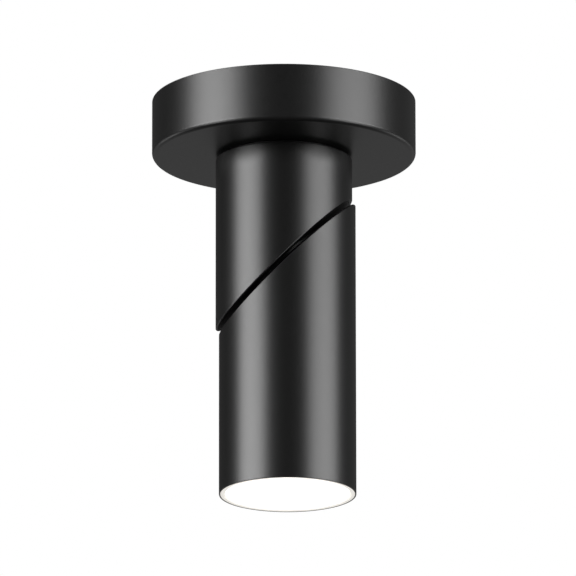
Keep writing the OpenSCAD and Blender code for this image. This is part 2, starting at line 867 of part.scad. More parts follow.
// White bowl: a lip in the mouth, a curved wall with a shelf for the diffuser, and a flat throat ring
module reflector() {
    shelf_z = diffuser_z + diffuser_t;
    inner = concat(
        [for (i = [0 : bowl_steps]) [bowl_r(i * shelf_z / bowl_steps), i * shelf_z / bowl_steps]],
        [for (i = [0 : bowl_steps])
            let (h = shelf_z + i * (bowl_h - shelf_z) / bowl_steps)
            [bowl_r(h) - shelf_w * (bowl_h - h) / (bowl_h - shelf_z), h]],
        [[holder_hole_r + 1, bowl_h], [holder_hole_r + 1, bowl_h + bowl_wall]]
    );
    outer = [for (i = [bowl_steps : -1 : 1]) [bowl_r(i * bowl_h / bowl_steps) + bowl_wall,
        i * bowl_h / bowl_steps + (i == bowl_steps ? bowl_wall : 0)]];
    lip = [[plug_r, lip_t], [lip_r, lip_t], [lip_r, 0]];
    color("#f6f6f4") at_head() translate([0, 0, lip_z]) rotate_extrude() polygon(concat(inner, outer, lip));
}

module diffuser() {
    disc_r = bowl_r(diffuser_z + diffuser_t) - slip_fit;
    color("#fdfdfb") at_head() translate([0, 0, lip_z + diffuser_z]) cylinder(r = disc_r, h = diffuser_t);
}

module diffuser_ring() {
    outer_r = bowl_r(diffuser_z) - slip_fit;
    color("#f6f6f4") at_head() translate([0, 0, lip_z + diffuser_z - ring_h]) rotate_extrude()
        translate([outer_r - shelf_w, 0]) square([shelf_w, ring_h]);
}

module head_lead() {
    color("#e7e4dc") routed_wire([
        on_elbow_axis(elbow_end + face_gap),
        on_elbow_axis(head_turn_s),
        [head_lead_x, 0, sink_z]
    ], lead_r, inner_bend_r);
}

ceiling_bracket();
canopy();
canopy_screws();
stop_post();
led_driver();
driver_foam_pad();
terminal_block();
terminal_screws();
earth_terminal();
earth_screw();
live_wire();
neutral_wire();
earth_wire();
driver_lead();
swivel_pad();
swivel_slip_washer();
swivel_stop_washer();
swivel_spring_washer();
swivel_nut();
swivel_nipple();
neck_cap();
cap_locknut();
neck_tube();
neck_end_plate();
elbow_pivot();
elbow_slip_washer();
elbow_stop_washer();
elbow_spring_washer();
elbow_nut();
neck_lead();
head_end_plate();
elbow_stop_pin();
head_tube();
heat_sink();
led_board();
led_emitter();
led_holder();
holder_screws();
reflector();
diffuser();
diffuser_ring();
head_lead();
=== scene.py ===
"""The looks of a black ceiling spotlight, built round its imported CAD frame.

The file is laid out as an add-on, and is run as a script.
"""

import cmath
import json
import math
from functools import cache, partial

import bmesh
import bpy
from mathutils import Matrix, Vector

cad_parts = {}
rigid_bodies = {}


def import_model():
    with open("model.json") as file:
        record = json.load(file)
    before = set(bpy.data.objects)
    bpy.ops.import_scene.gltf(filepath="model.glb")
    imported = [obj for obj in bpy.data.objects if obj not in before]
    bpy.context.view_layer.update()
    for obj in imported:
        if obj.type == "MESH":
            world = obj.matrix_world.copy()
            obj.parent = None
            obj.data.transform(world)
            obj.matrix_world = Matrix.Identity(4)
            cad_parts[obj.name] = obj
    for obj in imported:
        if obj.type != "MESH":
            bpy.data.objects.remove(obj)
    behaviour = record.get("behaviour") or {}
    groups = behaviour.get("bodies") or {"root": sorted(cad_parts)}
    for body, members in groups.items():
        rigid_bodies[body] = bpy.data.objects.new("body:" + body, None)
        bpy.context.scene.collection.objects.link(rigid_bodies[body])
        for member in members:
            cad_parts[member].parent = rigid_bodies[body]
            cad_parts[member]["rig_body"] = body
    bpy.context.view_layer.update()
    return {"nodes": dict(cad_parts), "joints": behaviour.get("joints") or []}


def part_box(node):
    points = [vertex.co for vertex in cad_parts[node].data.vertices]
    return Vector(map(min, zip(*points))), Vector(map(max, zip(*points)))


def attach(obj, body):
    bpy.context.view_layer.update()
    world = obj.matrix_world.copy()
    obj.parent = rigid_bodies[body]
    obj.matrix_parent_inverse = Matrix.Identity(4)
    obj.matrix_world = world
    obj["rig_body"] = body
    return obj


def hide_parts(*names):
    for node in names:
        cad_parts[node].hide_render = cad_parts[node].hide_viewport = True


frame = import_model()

bl_info = {
    "name": "Ceiling spotlight",
    "version": (1, 0, 0),
    "blender": (4, 5, 0),
    "location": "3D View > Sidebar > Spotlight",
    "description": "Builds the looks of a ceiling spotlight round its CAD frame, and a studio to show it in",
    "category": "Object",
}

MM = 0.001
ELBOW = next(joint for joint in frame["joints"] if joint["name"] == "elbow_turn")
ELBOW_CENTRE, ELBOW_AXIS = Vector(ELBOW["pos_m"]), Vector(ELBOW["axis"])
# How far the cut climbs for each metre towards +X
CUT_RISE = -ELBOW_AXIS.x / ELBOW_AXIS.z
# Roundings that turning, moulding and reaming leave
TURNED_EDGE, MOULDED_EDGE, FINE_EDGE, THIN_EDGE = 0.3 * MM, 0.2 * MM, 0.15 * MM, 0.1 * MM
# Gaps round a pivot that turns in its hole, and round one that is pressed in
RUNNING_FIT, PRESS_FIT = 0.08 * MM, 0.02 * MM
# The seat for the reflector's lip, the plates in the cut ends, and the dark groove at the elbow's sides
LIP_SEAT, PLATE, GROOVE_DEPTH = 3 * MM, 4 * MM, 6 * MM
THREAD_PITCH, THREAD_DEPTH, POLE_PITCH = 1 * MM, 0.35 * MM, 9.5 * MM
# Radii of a screw's hole, and of the heads of the screws in the board's holder
SCREW_HOLE, HOLDER_HEAD = 1.52 * MM, 2.8 * MM
# Edges that meet at more than these angles are bevelled, or are left sharp in the shading
BEVEL_ABOVE, SHARP_ABOVE = math.radians(35), math.radians(60)


def lowest(node):
    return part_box(node)[0]


def highest(node):
    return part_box(node)[1]


def middle(node):
    return (lowest(node) + highest(node)) / 2


# Settings


def setting(kind, **fixed):
    """A maker of one kind of setting. It takes the label, the description and the default."""
    return lambda label, description, default: kind(
        name=label, description=description, default=default, **fixed)


length = setting(bpy.props.FloatProperty, unit="LENGTH", precision=5, min=0.0)
angle = setting(bpy.props.FloatProperty, subtype="ANGLE")
number = setting(bpy.props.FloatProperty, min=0.0)
count = setting(bpy.props.IntProperty, min=3)
colour = setting(bpy.props.FloatVectorProperty, size=4, subtype="COLOR", min=0.0, max=1.0)


def linear(code):
    """A colour written as sRGB hex, turned to linear red, green, blue and alpha."""
    parts = [int(code[i:i + 2], 16) / 255 for i in (1, 3, 5)]
    return tuple(p / 12.92 if p <= 0.04045 else ((p + 0.055) / 1.055) ** 2.4 for p in parts) + (1.0,)


class Sizes(bpy.types.PropertyGroup):
    """Sizes of the pieces."""
    canopy_radius: length("Canopy radius", "Outside radius of the round canopy", highest("canopy").x)
    canopy_height: length("Canopy height", "Drop of the canopy below the ceiling", -lowest("canopy").z)
    canopy_wall: length("Canopy wall", "Thickness of the spun sheet", 1.5 * MM)
    canopy_edge: length("Canopy edge", "Radius of the canopy's lower edge", 2 * MM)
    tube_radius: length("Tube radius", "Outside radius of the neck and the head", highest("neck_tube").x)
    tube_wall: length("Tube wall", "Wall of the neck and the head", 1.5 * MM)
    cut_edge: length("Cut edge", "Rounding left by the brush on the oblique cut", 0.6 * MM)
    rim: length("Rim", "Width of the black rim round the mouth", 0.5 * MM)
    bowl_radius: length("Bowl radius", "Inside radius of the reflector at its lip", 27.2 * MM)
    bowl_depth: length("Bowl depth", "Depth of the reflector from its lip to its throat", 26 * MM)
    throat_radius: length("Throat radius", "Inside radius of the reflector at its throat", 14 * MM)
    bowl_wall: length("Bowl wall", "Wall of the moulded reflector", 1.2 * MM)
    fins: count("Fins", "Number of fins on the heat sink", 12)
    fin_thickness: length("Fin thickness", "Thickness of one fin", 1.5 * MM)
    core_radius: length("Core radius", "Radius of the heat sink's core", 8 * MM)
    base_height: length("Base height", "Thickness of the heat sink's base", 6 * MM)
    pivot_radius: length("Pivot radius", "Outside radius of the hollow pivots", 5 * MM)
    pivot_bore: length("Pivot bore", "Inside radius of the hollow pivots", 3.5 * MM)
    edge_break: length("Edge break", "Small bevel on the edges of the small parts", 0.12 * MM)
    mains_radius: length("Mains wire radius", "Radius of a mains wire with its insulation", 1.2 * MM)
    lead_radius: length("Lead radius", "Radius of the lead that feeds the lamp", 1.8 * MM)


class Finishes(bpy.types.PropertyGroup):
    """Colours that a user would change."""
    coat: colour("Powder coat", "Black of the canopy, neck and head", linear("#090909"))
    lamp: colour("Lamp light", "Colour of the lit diffuser", linear("#fff8ee"))
    lamp_strength: number("Lamp strength", "Glow of the diffuser, where 1 is white", 4.0)


class Studio(bpy.types.PropertyGroup):
    """Camera and softboxes."""
    turn: angle("Camera turn", "Turn of the camera round the light", math.radians(4.9183))
    rise: angle("Camera rise", "Angle at which the camera looks up", math.radians(15.9289))
    roll: angle("Camera roll", "Roll of the camera about its line of sight", math.radians(-0.0717))
    distance: length("Camera distance", "Distance from the camera to the point it looks at", 4.828921)
    lens: number("Lens", "Focal length in millimetres on a 36 mm sensor", 688.583)
    aside: length("Aim aside", "Distance of the point aimed at from the canopy's axis", 1.7423 * MM)
    drop: length("Aim drop", "Distance of the point aimed at below the ceiling", 85.0759 * MM)
    box_angle: angle("Softbox angle", "Angle between the camera and a front softbox", math.radians(62))
    box_distance: length("Softbox distance", "Distance from the canopy's axis to a softbox", 6.0)
    box_height: length("Softbox height", "Height of the oval of light on a softbox", 2.2)
    high_rise: length("High rise", "Height of the high softboxes' middles above the ceiling's level", 0.95)
    left_width: length("Left width", "Width of the high softbox on the left", 6.0)
    left_radiance: number("Left radiance", "Radiance of the high softbox on the left", 10.6)
    right_width: length("Right width", "Width of the high softbox on the right", 6.7)
    right_radiance: number("Right radiance", "Radiance of the high softbox on the right", 7.6)
    low_drop: length("Low drop", "Depth of the low softboxes' middles below the ceiling's level", 2.4)
    low_width: length("Low width", "Width of the low softboxes", 3.6)
    low_radiance: number("Low radiance", "Radiance of the low softboxes in front", 5.0)
    back_radiance: number("Back radiance", "Radiance of the low softboxes behind", 1.5)


# Nodes and objects


def add_node(tree, kind, inputs=None, **settings):
    """Adds a node. An input takes a value, a socket to link, or a node, whose first output is linked."""
    node = tree.nodes.new(kind)
    for name, value in settings.items():
        setattr(node, name, value)
    for key, value in (inputs or {}).items():
        for one in value if isinstance(value, list) else [value]:
            source = one.outputs[0] if isinstance(one, bpy.types.Node) else one
            if isinstance(source, bpy.types.NodeSocket):
                tree.links.new(source, node.inputs[key])
            else:
                node.inputs[key].default_value = source
    return node


def linked(name, data):
    """A new object in the scene, at the origin."""
    made = bpy.data.objects.new(name, data)
    bpy.context.scene.collection.objects.link(made)
    return made


def made_object(name, mesh):
    """An object from a bmesh, which is freed."""
    data = bpy.data.meshes.new(name)
    mesh.to_mesh(data)
    mesh.free()
    return linked(name, data)


def settle(piece):
    """Turns a piece's modifiers into its plain mesh."""
    bpy.context.view_layer.update()
    graph = bpy.context.evaluated_depsgraph_get()
    piece.data = bpy.data.meshes.new_from_object(piece.evaluated_get(graph), depsgraph=graph)
    piece.modifiers.clear()
    return piece


def cut_or_join(piece, other, operation="DIFFERENCE"):
    """Cuts another solid out of a piece, or joins it on, and deletes the other."""
    step = piece.modifiers.new(operation.title(), "BOOLEAN")
    step.operation, step.object, step.solver = operation, other, "EXACT"
    settle(piece)
    bpy.data.objects.remove(other)
    return piece


def soften_edges(piece, edge=0.0):
    """Breaks the sharp edges by a small bevel and keeps the large faces flat in their shading."""
    if edge > 0:
        bevel = piece.modifiers.new("Edge break", "BEVEL")
        bevel.width, bevel.segments = edge, 2
        bevel.limit_method, bevel.angle_limit = "ANGLE", BEVEL_ABOVE
        settle(piece)
    piece.data.shade_smooth()
    piece.data.set_sharp_from_angle(angle=SHARP_ABOVE)
    weighted = piece.modifiers.new("Flat faces", "WEIGHTED_NORMAL")
    weighted.keep_sharp, weighted.weight = True, 80
    return settle(piece)


def hand_over(piece, slot, node, edge=0.0):
    """Softens a piece's edges, and gives it its finish, its body and the CAD node that it stands for."""
    soften_edges(piece, edge)
    piece.data.materials.clear()
    piece.data.materials.append(finish(slot))
    for polygon in piece.data.polygons:
        polygon.material_index = 0
    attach(piece, frame["nodes"][node]["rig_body"])
    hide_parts(node)
    return piece


# Shapes


def rounded_section(corners, steps=6):
    """Points of a section. A corner is its radius from the axis, its height and its rounding."""
    points = []
    for i, (radius, height, rounding) in enumerate(corners):
        here = complex(radius, height)
        if rounding == 0:
            points.append(here)
            continue
        before = complex(*corners[i - 1][:2]) - here
        after = complex(*corners[(i + 1) % len(corners)][:2]) - here
        before, after = before / abs(before), after / abs(after)
        opening = abs(cmath.phase(after / before))
        reach = rounding / math.tan(opening / 2)
        inward = (before + after) / abs(before + after) * rounding / math.sin(opening / 2)
        start = before * reach - inward
        turn = cmath.phase((after * reach - inward) / start)
        points += [here + inward + start * cmath.exp(1j * turn * k / steps) for k in range(steps + 1)]
    return points


def ring_solid(name, section_at, segments=256, axis_x=0.0, closed=True):
    """A solid round a vertical axis. section_at gives its section at an angle.

    An open section starts and ends on the axis.
    """
    mesh = bmesh.new()
    rings = []
    for k in range(segments):
        x, y = math.cos(2 * math.pi * k / segments), math.sin(2 * math.pi * k / segments)
        rings.append([mesh.verts.new((axis_x + p.real * x, p.real * y, p.imag))
                      for p in section_at(2 * math.pi * k / segments)])
    around = len(rings[0])
    for k, here in enumerate(rings):
        there = rings[(k + 1) % segments]
        for i in range(around if closed else around - 1):
            j = (i + 1) % around
            mesh.faces.new((here[i], here[j], there[j], there[i]))
    bmesh.ops.remove_doubles(mesh, verts=mesh.verts, dist=1e-7)
    bmesh.ops.recalc_face_normals(mesh, faces=mesh.faces)
    return made_object(name, mesh)


def turned_solid(name, corners, segments=256, axis_x=0.0, closed=True):
    """A solid of one section, turned round a vertical axis."""
    section = rounded_section(corners)
    return ring_solid(name, lambda angle: section, segments, axis_x, closed)


def disc_solid(name, radius, low, high, edge, segments, axis_x=0.0):
    """A round disc with rounded edges."""
    corners = [(0, low, 0), (radius, low, edge), (radius, high, edge), (0, high, 0)]
    return turned_solid(name, corners, segments, axis_x, closed=False)


def block(name, low, high):
    """A plain block between two corners."""
    mesh = bmesh.new()
    bmesh.ops.create_cube(mesh, size=1.0)
    for vertex in mesh.verts:
        vertex.co = Vector(a + (b - a) * (c + 0.5) for a, b, c in zip(low, high, vertex.co))
    return made_object(name, mesh)


def drill(piece, start, way, radius, reach, sides=64):
    """Cuts a round hole into a piece, from its start on its way."""
    mesh = bmesh.new()
    turn = Vector((0, 0, 1)).rotation_difference(Vector(way)).to_matrix().to_4x4()
    place = Matrix.Translation(Vector(start)) @ turn @ Matrix.Translation((0, 0, reach / 2))
    bmesh.ops.create_cone(mesh, cap_ends=True, segments=sides, radius1=radius, radius2=radius, depth=reach,
                          matrix=place)
    return cut_or_join(piece, made_object("hole", mesh))


def dressed_copy(node, name):
    """A copy of a CAD node with its triangles merged into real faces."""
    mesh = bmesh.new()
    mesh.from_mesh(frame["nodes"][node].data)
    bmesh.ops.remove_doubles(mesh, verts=mesh.verts, dist=1e-6)
    bmesh.ops.dissolve_limit(mesh, angle_limit=math.radians(0.6), verts=mesh.verts, edges=mesh.edges)
    return made_object(name, mesh)


def cut_height(x, along=0.0):
    """Height of the elbow's cut plane at x, moved along the elbow's axis."""
    return ELBOW_CENTRE.z + x * CUT_RISE + along / ELBOW_AXIS.z


def elbow_place():
    """The frame of the elbow: its centre, with Z along its axis and X down the slope of the cut."""
    return Matrix.Translation(ELBOW_CENTRE) @ Matrix.Rotation(math.acos(ELBOW_AXIS.z), 4, "Y")


# Geometry Nodes


def new_tree(name, inputs):
    """A Geometry Nodes tree with a geometry, a material and the named inputs: name, kind and default."""
    tree = bpy.data.node_groups.new(name, "GeometryNodeTree")
    sockets = tree.interface
    sockets.new_socket("Geometry", in_out="INPUT", socket_type="NodeSocketGeometry")
    sockets.new_socket("Material", in_out="INPUT", socket_type="NodeSocketMaterial")
    for label, kind, default in inputs:
        sockets.new_socket(label, in_out="INPUT", socket_type="NodeSocket" + kind).default_value = default
    sockets.new_socket("Geometry", in_out="OUTPUT", socket_type="NodeSocketGeometry")
    return tree, partial(add_node, tree), tree.nodes.new("NodeGroupInput").outputs


def end_tree(tree, add, given, geometry):
    """Ends a tree in plain geometry that carries its material."""
    real = add("GeometryNodeRealizeInstances", {"Geometry": geometry})
    painted = add("GeometryNodeSetMaterial", {"Geometry": real, "Material": given["Material"]})
    add("NodeGroupOutput", {0: painted})
    return tree


def run_tree(piece, tree, slot, values):
    """Runs a tree on a piece, its inputs set by their sockets' identifiers, and keeps the plain mesh."""
    step = piece.modifiers.new(tree.name, "NODES")
    step.node_group = tree
    values = {"Material": finish(slot), **values}
    for item in tree.interface.items_tree:
        if item.in_out == "INPUT" and item.name in values:
            step[item.identifier] = values[item.name]
    return settle(piece)


def wire_tree():
    """A round wire along a route of straight lines, bent round each corner."""
    tree, add, given = new_tree("Wire along a route", [
        ("Bend radius", "Float", 0.004), ("Wire radius", "Float", 0.0012), ("Sides", "Int", 20),
        ("Bend steps", "Int", 10)])
    route = add("GeometryNodeMeshToCurve", {"Mesh": given["Geometry"]})
    bent = add("GeometryNodeFilletCurve", {"Curve": route, "Count": given["Bend steps"],
                                           "Radius": given["Bend radius"], "Limit Radius": True}, mode="POLY")
    ring = add("GeometryNodeCurvePrimitiveCircle", {
        "Resolution": given["Sides"], "Radius": given["Wire radius"]})
    place = add("GeometryNodeSplineParameter").outputs["Factor"]
    marked = add("GeometryNodeStoreNamedAttribute", {
        "Geometry": ring, "Name": "round the wire", "Value": place}, data_type="FLOAT", domain="POINT")
    tube = add("GeometryNodeCurveToMesh", {"Curve": bent, "Profile Curve": marked, "Fill Caps": True})
    return end_tree(tree, add, given, tube)


def thread_tree():
    """A thread that climbs round a rod, joined to the rod."""
    tree, add, given = new_tree("Thread on a rod", [
        ("Root radius", "Float", 0.00465), ("Depth", "Float", 0.00035), ("Pitch", "Float", 0.001),
        ("Length", "Float", 0.01), ("Start", "Vector", (0, 0, 0)), ("Sides", "Int", 48)])
    turns = add("ShaderNodeMath", {0: given["Length"], 1: given["Pitch"]}, operation="DIVIDE")
    helix = add("GeometryNodeCurveSpiral", {
        "Resolution": given["Sides"], "Rotations": turns, "Start Radius": given["Root radius"],
        "End Radius": given["Root radius"], "Height": given["Length"]})
    upright = add("GeometryNodeSetCurveNormal", {"Curve": helix}, mode="Z_UP")
    ridge = add("GeometryNodeCurvePrimitiveCircle", {"Resolution": 4, "Radius": given["Depth"]})
    swept = add("GeometryNodeCurveToMesh", {"Curve": upright, "Profile Curve": ridge, "Fill Caps": True})
    placed = add("GeometryNodeTransform", {"Geometry": swept, "Translation": given["Start"]})
    joined = add("GeometryNodeJoinGeometry", {"Geometry": [given["Geometry"], placed]})
    return end_tree(tree, add, given, joined)


def screw_tree():
    """A screw at each point of the piece, turned as the point's attribute says. Its head is at the point."""
    tree, add, given = new_tree("Screws at points", [
        ("Shank radius", "Float", 0.0015), ("Shank length", "Float", 0.006), ("Head radius", "Float", 0.0028),
        ("Head height", "Float", 0.0018), ("Recess size", "Float", 0.0012), ("Recess depth", "Float", 0.001),
        ("Slotted", "Bool", False)])
    half_shank, half_head, head_end, deep, long_side = (
        add("ShaderNodeMath", {0: given[size], 1: times}, operation="MULTIPLY") for size, times in (
            ("Shank length", 0.5), ("Head height", -0.5), ("Head height", -1.0), ("Recess depth", 2.0),
            ("Head radius", 3.0)))
    shank_at, head_at, recess_at = (
        add("ShaderNodeCombineXYZ", {2: height}) for height in (half_shank, half_head, head_end))
    shank, head, socket = (
        add("GeometryNodeTransform", {"Translation": place, "Geometry": add("GeometryNodeMeshCylinder", {
            "Vertices": sides, "Radius": given[radius], "Depth": depth})})
        for sides, radius, depth, place in (
            (40, "Shank radius", given["Shank length"], shank_at),
            (40, "Head radius", given["Head height"], head_at), (6, "Recess size", deep, recess_at)))
    bar = add("GeometryNodeMeshCube", {
        "Size": add("ShaderNodeCombineXYZ", {0: long_side, 1: given["Recess size"], 2: deep})})
    slot = add("GeometryNodeTransform", {"Geometry": bar, "Translation": recess_at})
    recess = add("GeometryNodeSwitch", {"Switch": given["Slotted"], "False": socket, "True": slot},
                 input_type="GEOMETRY")
    whole = add("GeometryNodeMeshBoolean", {"Mesh 2": [shank, head]}, operation="UNION", solver="EXACT")
    cut = add("GeometryNodeMeshBoolean", {"Mesh 1": whole, "Mesh 2": recess}, operation="DIFFERENCE",
              solver="EXACT")
    turn = add("GeometryNodeInputNamedAttribute", {"Name": "turn"}, data_type="FLOAT_VECTOR")
    rotation = add("FunctionNodeEulerToRotation", {0: turn.outputs["Attribute"]})
    placed = add("GeometryNodeInstanceOnPoints", {
        "Points": given["Geometry"], "Instance": cut, "Rotation": rotation})
    return end_tree(tree, add, given, placed)


def row_tree():
    """Copies of the piece in a row, such as the poles of a terminal block."""
    tree, add, given = new_tree("Copies in a row", [
        ("Copies", "Int", 3), ("Pitch", "Vector", (0.0095, 0, 0)), ("First", "Vector", (0, 0, 0))])
    line = add("GeometryNodeMeshLine", {
        "Count": given["Copies"], "Start Location": given["First"], "Offset": given["Pitch"]}, mode="OFFSET")
    row = add("GeometryNodeInstanceOnPoints", {"Points": line, "Instance": given["Geometry"]})
    return end_tree(tree, add, given, row)


def fin_tree():
    """Fins at equal angles round the core of a heat sink, joined to it."""
    tree, add, given = new_tree("Fins round a core", [
        ("Fins", "Int", 12), ("Fin size", "Vector", (0.021, 0.0015, 0.028)),
        ("Fin middle", "Vector", (0.018, 0, 0.014)), ("Foot", "Vector", (0, 0, 0))])
    fin = add("GeometryNodeMeshCube", {"Size": given["Fin size"]})
    moved = add("GeometryNodeTransform", {"Geometry": fin, "Translation": given["Fin middle"]})
    points = add("GeometryNodePoints", {"Count": given["Fins"], "Position": given["Foot"]})
    share = add("ShaderNodeMath", {0: add("GeometryNodeInputIndex"), 1: 0.5}, operation="ADD")
    part = add("ShaderNodeMath", {0: share, 1: given["Fins"]}, operation="DIVIDE")
    turn = add("ShaderNodeMath", {0: part, 1: 2 * math.pi}, operation="MULTIPLY")
    rotation = add("FunctionNodeEulerToRotation", {0: add("ShaderNodeCombineXYZ", {2: turn})})
    ring = add("GeometryNodeInstanceOnPoints", {"Points": points, "Instance": moved, "Rotation": rotation})
    real = add("GeometryNodeRealizeInstances", {"Geometry": ring})
    fused = add("GeometryNodeMeshBoolean", {"Mesh 2": [given["Geometry"], real]}, operation="UNION",
                solver="EXACT")
    return end_tree(tree, add, given, fused)


def bowl_tree():
    """A bowl whose wall stands upright at its lip and follows an arc up to the throat."""
    tree, add, given = new_tree("Bowl from its arc", [
        ("Lip radius", "Float", 0.0272), ("Arc radius", "Float", 0.0322), ("Depth", "Float", 0.026),
        ("Wall", "Float", 0.0012), ("Lip centre", "Vector", (0, 0, 0)), ("Steps", "Int", 32),
        ("Segments", "Int", 192)])
    # Rows 0 to Steps of a grid climb the inner wall, the next ones come down the outer wall as far as
    # row 2 Steps + 1, and the last row closes the lip
    at = add("ShaderNodeSeparateXYZ", {0: add("GeometryNodeInputPosition")}).outputs
    known = {"across": at[0], "along": at[1], "steps": given["Steps"], "depth": given["Depth"],
             "lip": given["Lip radius"], "arc": given["Arc radius"], "wall": given["Wall"],
             "segments": given["Segments"]}
    for result, operation, *terms in (
            ("columns", "ADD", "segments", 1.0), ("rows", "MULTIPLY_ADD", "steps", 2.0, 3.0),
            ("last row", "SUBTRACT", "rows", 1.0), ("share along", "ADD", "along", 0.5),
            ("raw row", "MULTIPLY", "share along", "last row"), ("row", "ROUND", "raw row"),
            ("turning row", "ADD", "steps", 0.5), ("past the throat", "GREATER_THAN", "row", "turning row"),
            ("lip row", "SUBTRACT", "last row", 0.5), ("before the lip", "LESS_THAN", "row", "lip row"),
            ("outside", "MULTIPLY", "past the throat", "before the lip"),
            ("climb", "MINIMUM", "row", "steps"), ("outer end", "SUBTRACT", "rows", 2.0),
            ("left", "SUBTRACT", "outer end", "row"), ("descent", "MAXIMUM", "left", 0.0),
            ("step", "MINIMUM", "climb", "descent"),
            ("share", "DIVIDE", "step", "steps"), ("height", "MULTIPLY", "share", "depth"),
            ("arc squared", "POWER", "arc", 2.0), ("height squared", "POWER", "height", 2.0),
            ("root squared", "SUBTRACT", "arc squared", "height squared"), ("root", "SQRT", "root squared"),
            ("arc centre", "SUBTRACT", "lip", "arc"), ("inner radius", "ADD", "arc centre", "root"),
            ("thickness", "MULTIPLY", "outside", "wall"), ("radius", "ADD", "inner radius", "thickness"),
            ("turn", "MULTIPLY", "across", 2 * math.pi), ("cosine", "COSINE", "turn"),
            ("sine", "SINE", "turn"),
            ("x", "MULTIPLY", "radius", "cosine"), ("y", "MULTIPLY", "radius", "sine")):
        known[result] = add("ShaderNodeMath", {i: known.get(term, term) for i, term in enumerate(terms)},
                            operation=operation)
    grid = add("GeometryNodeMeshGrid", {"Size X": 1.0, "Size Y": 1.0, "Vertices X": known["columns"],
                                        "Vertices Y": known["rows"]})
    place = add("ShaderNodeCombineXYZ", {0: known["x"], 1: known["y"], 2: known["height"]})
    bent = add("GeometryNodeSetPosition", {"Geometry": grid, "Position": place})
    moved = add("GeometryNodeTransform", {"Geometry": bent, "Translation": given["Lip centre"]})
    closed = add("GeometryNodeMergeByDistance", {"Geometry": moved, "Distance": 1e-6})
    return end_tree(tree, add, given, closed)


# Finishes


def new_finish(name):
    """An empty material, the adder of its nodes, and the object's own coordinates for its patterns."""
    material = bpy.data.materials.new(name)
    material.use_nodes = True
    material.node_tree.nodes.clear()
    add = partial(add_node, material.node_tree)
    return material, add, add("ShaderNodeTexCoord").outputs["Object"]


def end_finish(add, inputs, shader="ShaderNodeBsdfPrincipled", output="ShaderNodeOutputMaterial"):
    """Ends a finish in its shader and output."""
    add(output, {"Surface": add(shader, inputs)})


def grained_finish(name, light, dark, grain, roughness, spread, relief, stretch=(1, 1, 1), **further):
    """A finish whose colour, gloss and relief all follow one grain. grain and relief are in millimetres."""
    material, add, place = new_finish(name)
    fitted = add("ShaderNodeMapping", {"Vector": place, "Scale": stretch})
    pattern = add("ShaderNodeTexNoise", {"Vector": fitted, "Scale": 1 / (grain * MM), "Detail": 3.0})
    shade = add("ShaderNodeMix", {"Factor": pattern, 6: linear(dark), 7: linear(light)}, data_type="RGBA")
    gloss = add("ShaderNodeMapRange", {"Value": pattern, "From Min": 0.3, "From Max": 0.7,
                                       "To Min": roughness - spread, "To Max": roughness + spread})
    bump = add("ShaderNodeBump", {"Height": pattern, "Distance": relief * MM})
    end_finish(add, {"Base Color": shade.outputs[2], "Roughness": gloss, "Normal": bump, **further})
    return material


def powder_coat():
    """Black polyester powder coat, sprayed and baked: a satin sheen, faint orange peel and fine grain."""
    material, add, place = new_finish("satin_black_powder_coat")
    # Orange peel of a baked powder coat is about a millimetre from crest to crest
    peel = add("ShaderNodeTexNoise", {"Vector": place, "Scale": 1 / (1.1 * MM), "Detail": 2.0})
    grain = add("ShaderNodeTexNoise", {"Vector": place, "Scale": 1 / (0.22 * MM), "Detail": 2.0})
    relief = add("ShaderNodeMath", {0: grain, 1: 0.3, 2: peel}, operation="MULTIPLY_ADD")
    bump = add("ShaderNodeBump", {"Height": relief, "Distance": 0.004 * MM})
    coat = bpy.context.scene.spotlight_finishes.coat[:3]
    darker, lighter = ((*(part * share for part in coat), 1.0) for share in (0.85, 1.15))
    shade = add("ShaderNodeMix", {"Factor": grain, 6: darker, 7: lighter}, data_type="RGBA")
    gloss = add("ShaderNodeMapRange", {"Value": peel, "From Min": 0.3, "From Max": 0.7, "To Min": 0.34,
                                       "To Max": 0.37})
    end_finish(add, {"Base Color": shade.outputs[2], "Roughness": gloss, "Normal": bump, "IOR": 1.6})
    return material


def striped_wire():
    """Green PVC with a yellow stripe on each side, the insulation of an earth wire."""
    material, add, place = new_finish("green_and_yellow_pvc")
    around = add("ShaderNodeAttribute", attribute_name="round the wire").outputs["Fac"]
    twice = add("ShaderNodeMath", {0: around, 1: 2.0}, operation="MULTIPLY")
    phase = add("ShaderNodeMath", {0: twice}, operation="FRACT")
    stripe = add("ShaderNodeMath", {0: phase, 1: 0.6}, operation="GREATER_THAN")
    shade = add("ShaderNodeMix", {"Factor": stripe, 6: linear("#3f7a35"), 7: linear("#e3c52f")},
                data_type="RGBA")
    grain = add("ShaderNodeTexNoise", {"Vector": place, "Scale": 1 / (0.5 * MM)})
    bump = add("ShaderNodeBump", {"Height": grain, "Distance": 0.004 * MM})
    end_finish(add, {"Base Color": shade.outputs[2], "Normal": bump, "Roughness": 0.42})
    return material


def lit_diffuser():
    """Glass frosted by sandblasting, lit evenly by the lamp behind it."""
    chosen = bpy.context.scene.spotlight_finishes
    material, add, place = new_finish("frosted_glass")
    frost = add("ShaderNodeTexNoise", {"Vector": place, "Scale": 1 / (0.25 * MM), "Detail": 3.0})
    shade = add("ShaderNodeMix", {"Factor": frost, 6: linear("#eceeed"), 7: linear("#fbfcfb")},
                data_type="RGBA")
    bump = add("ShaderNodeBump", {"Height": frost, "Distance": 0.01 * MM})
    end_finish(add, {"Base Color": shade.outputs[2], "Normal": bump, "Roughness": 0.6,
                     "Emission Color": tuple(chosen.lamp), "Emission Strength": chosen.lamp_strength})
    return material


METAL = {"Metallic": 1.0}
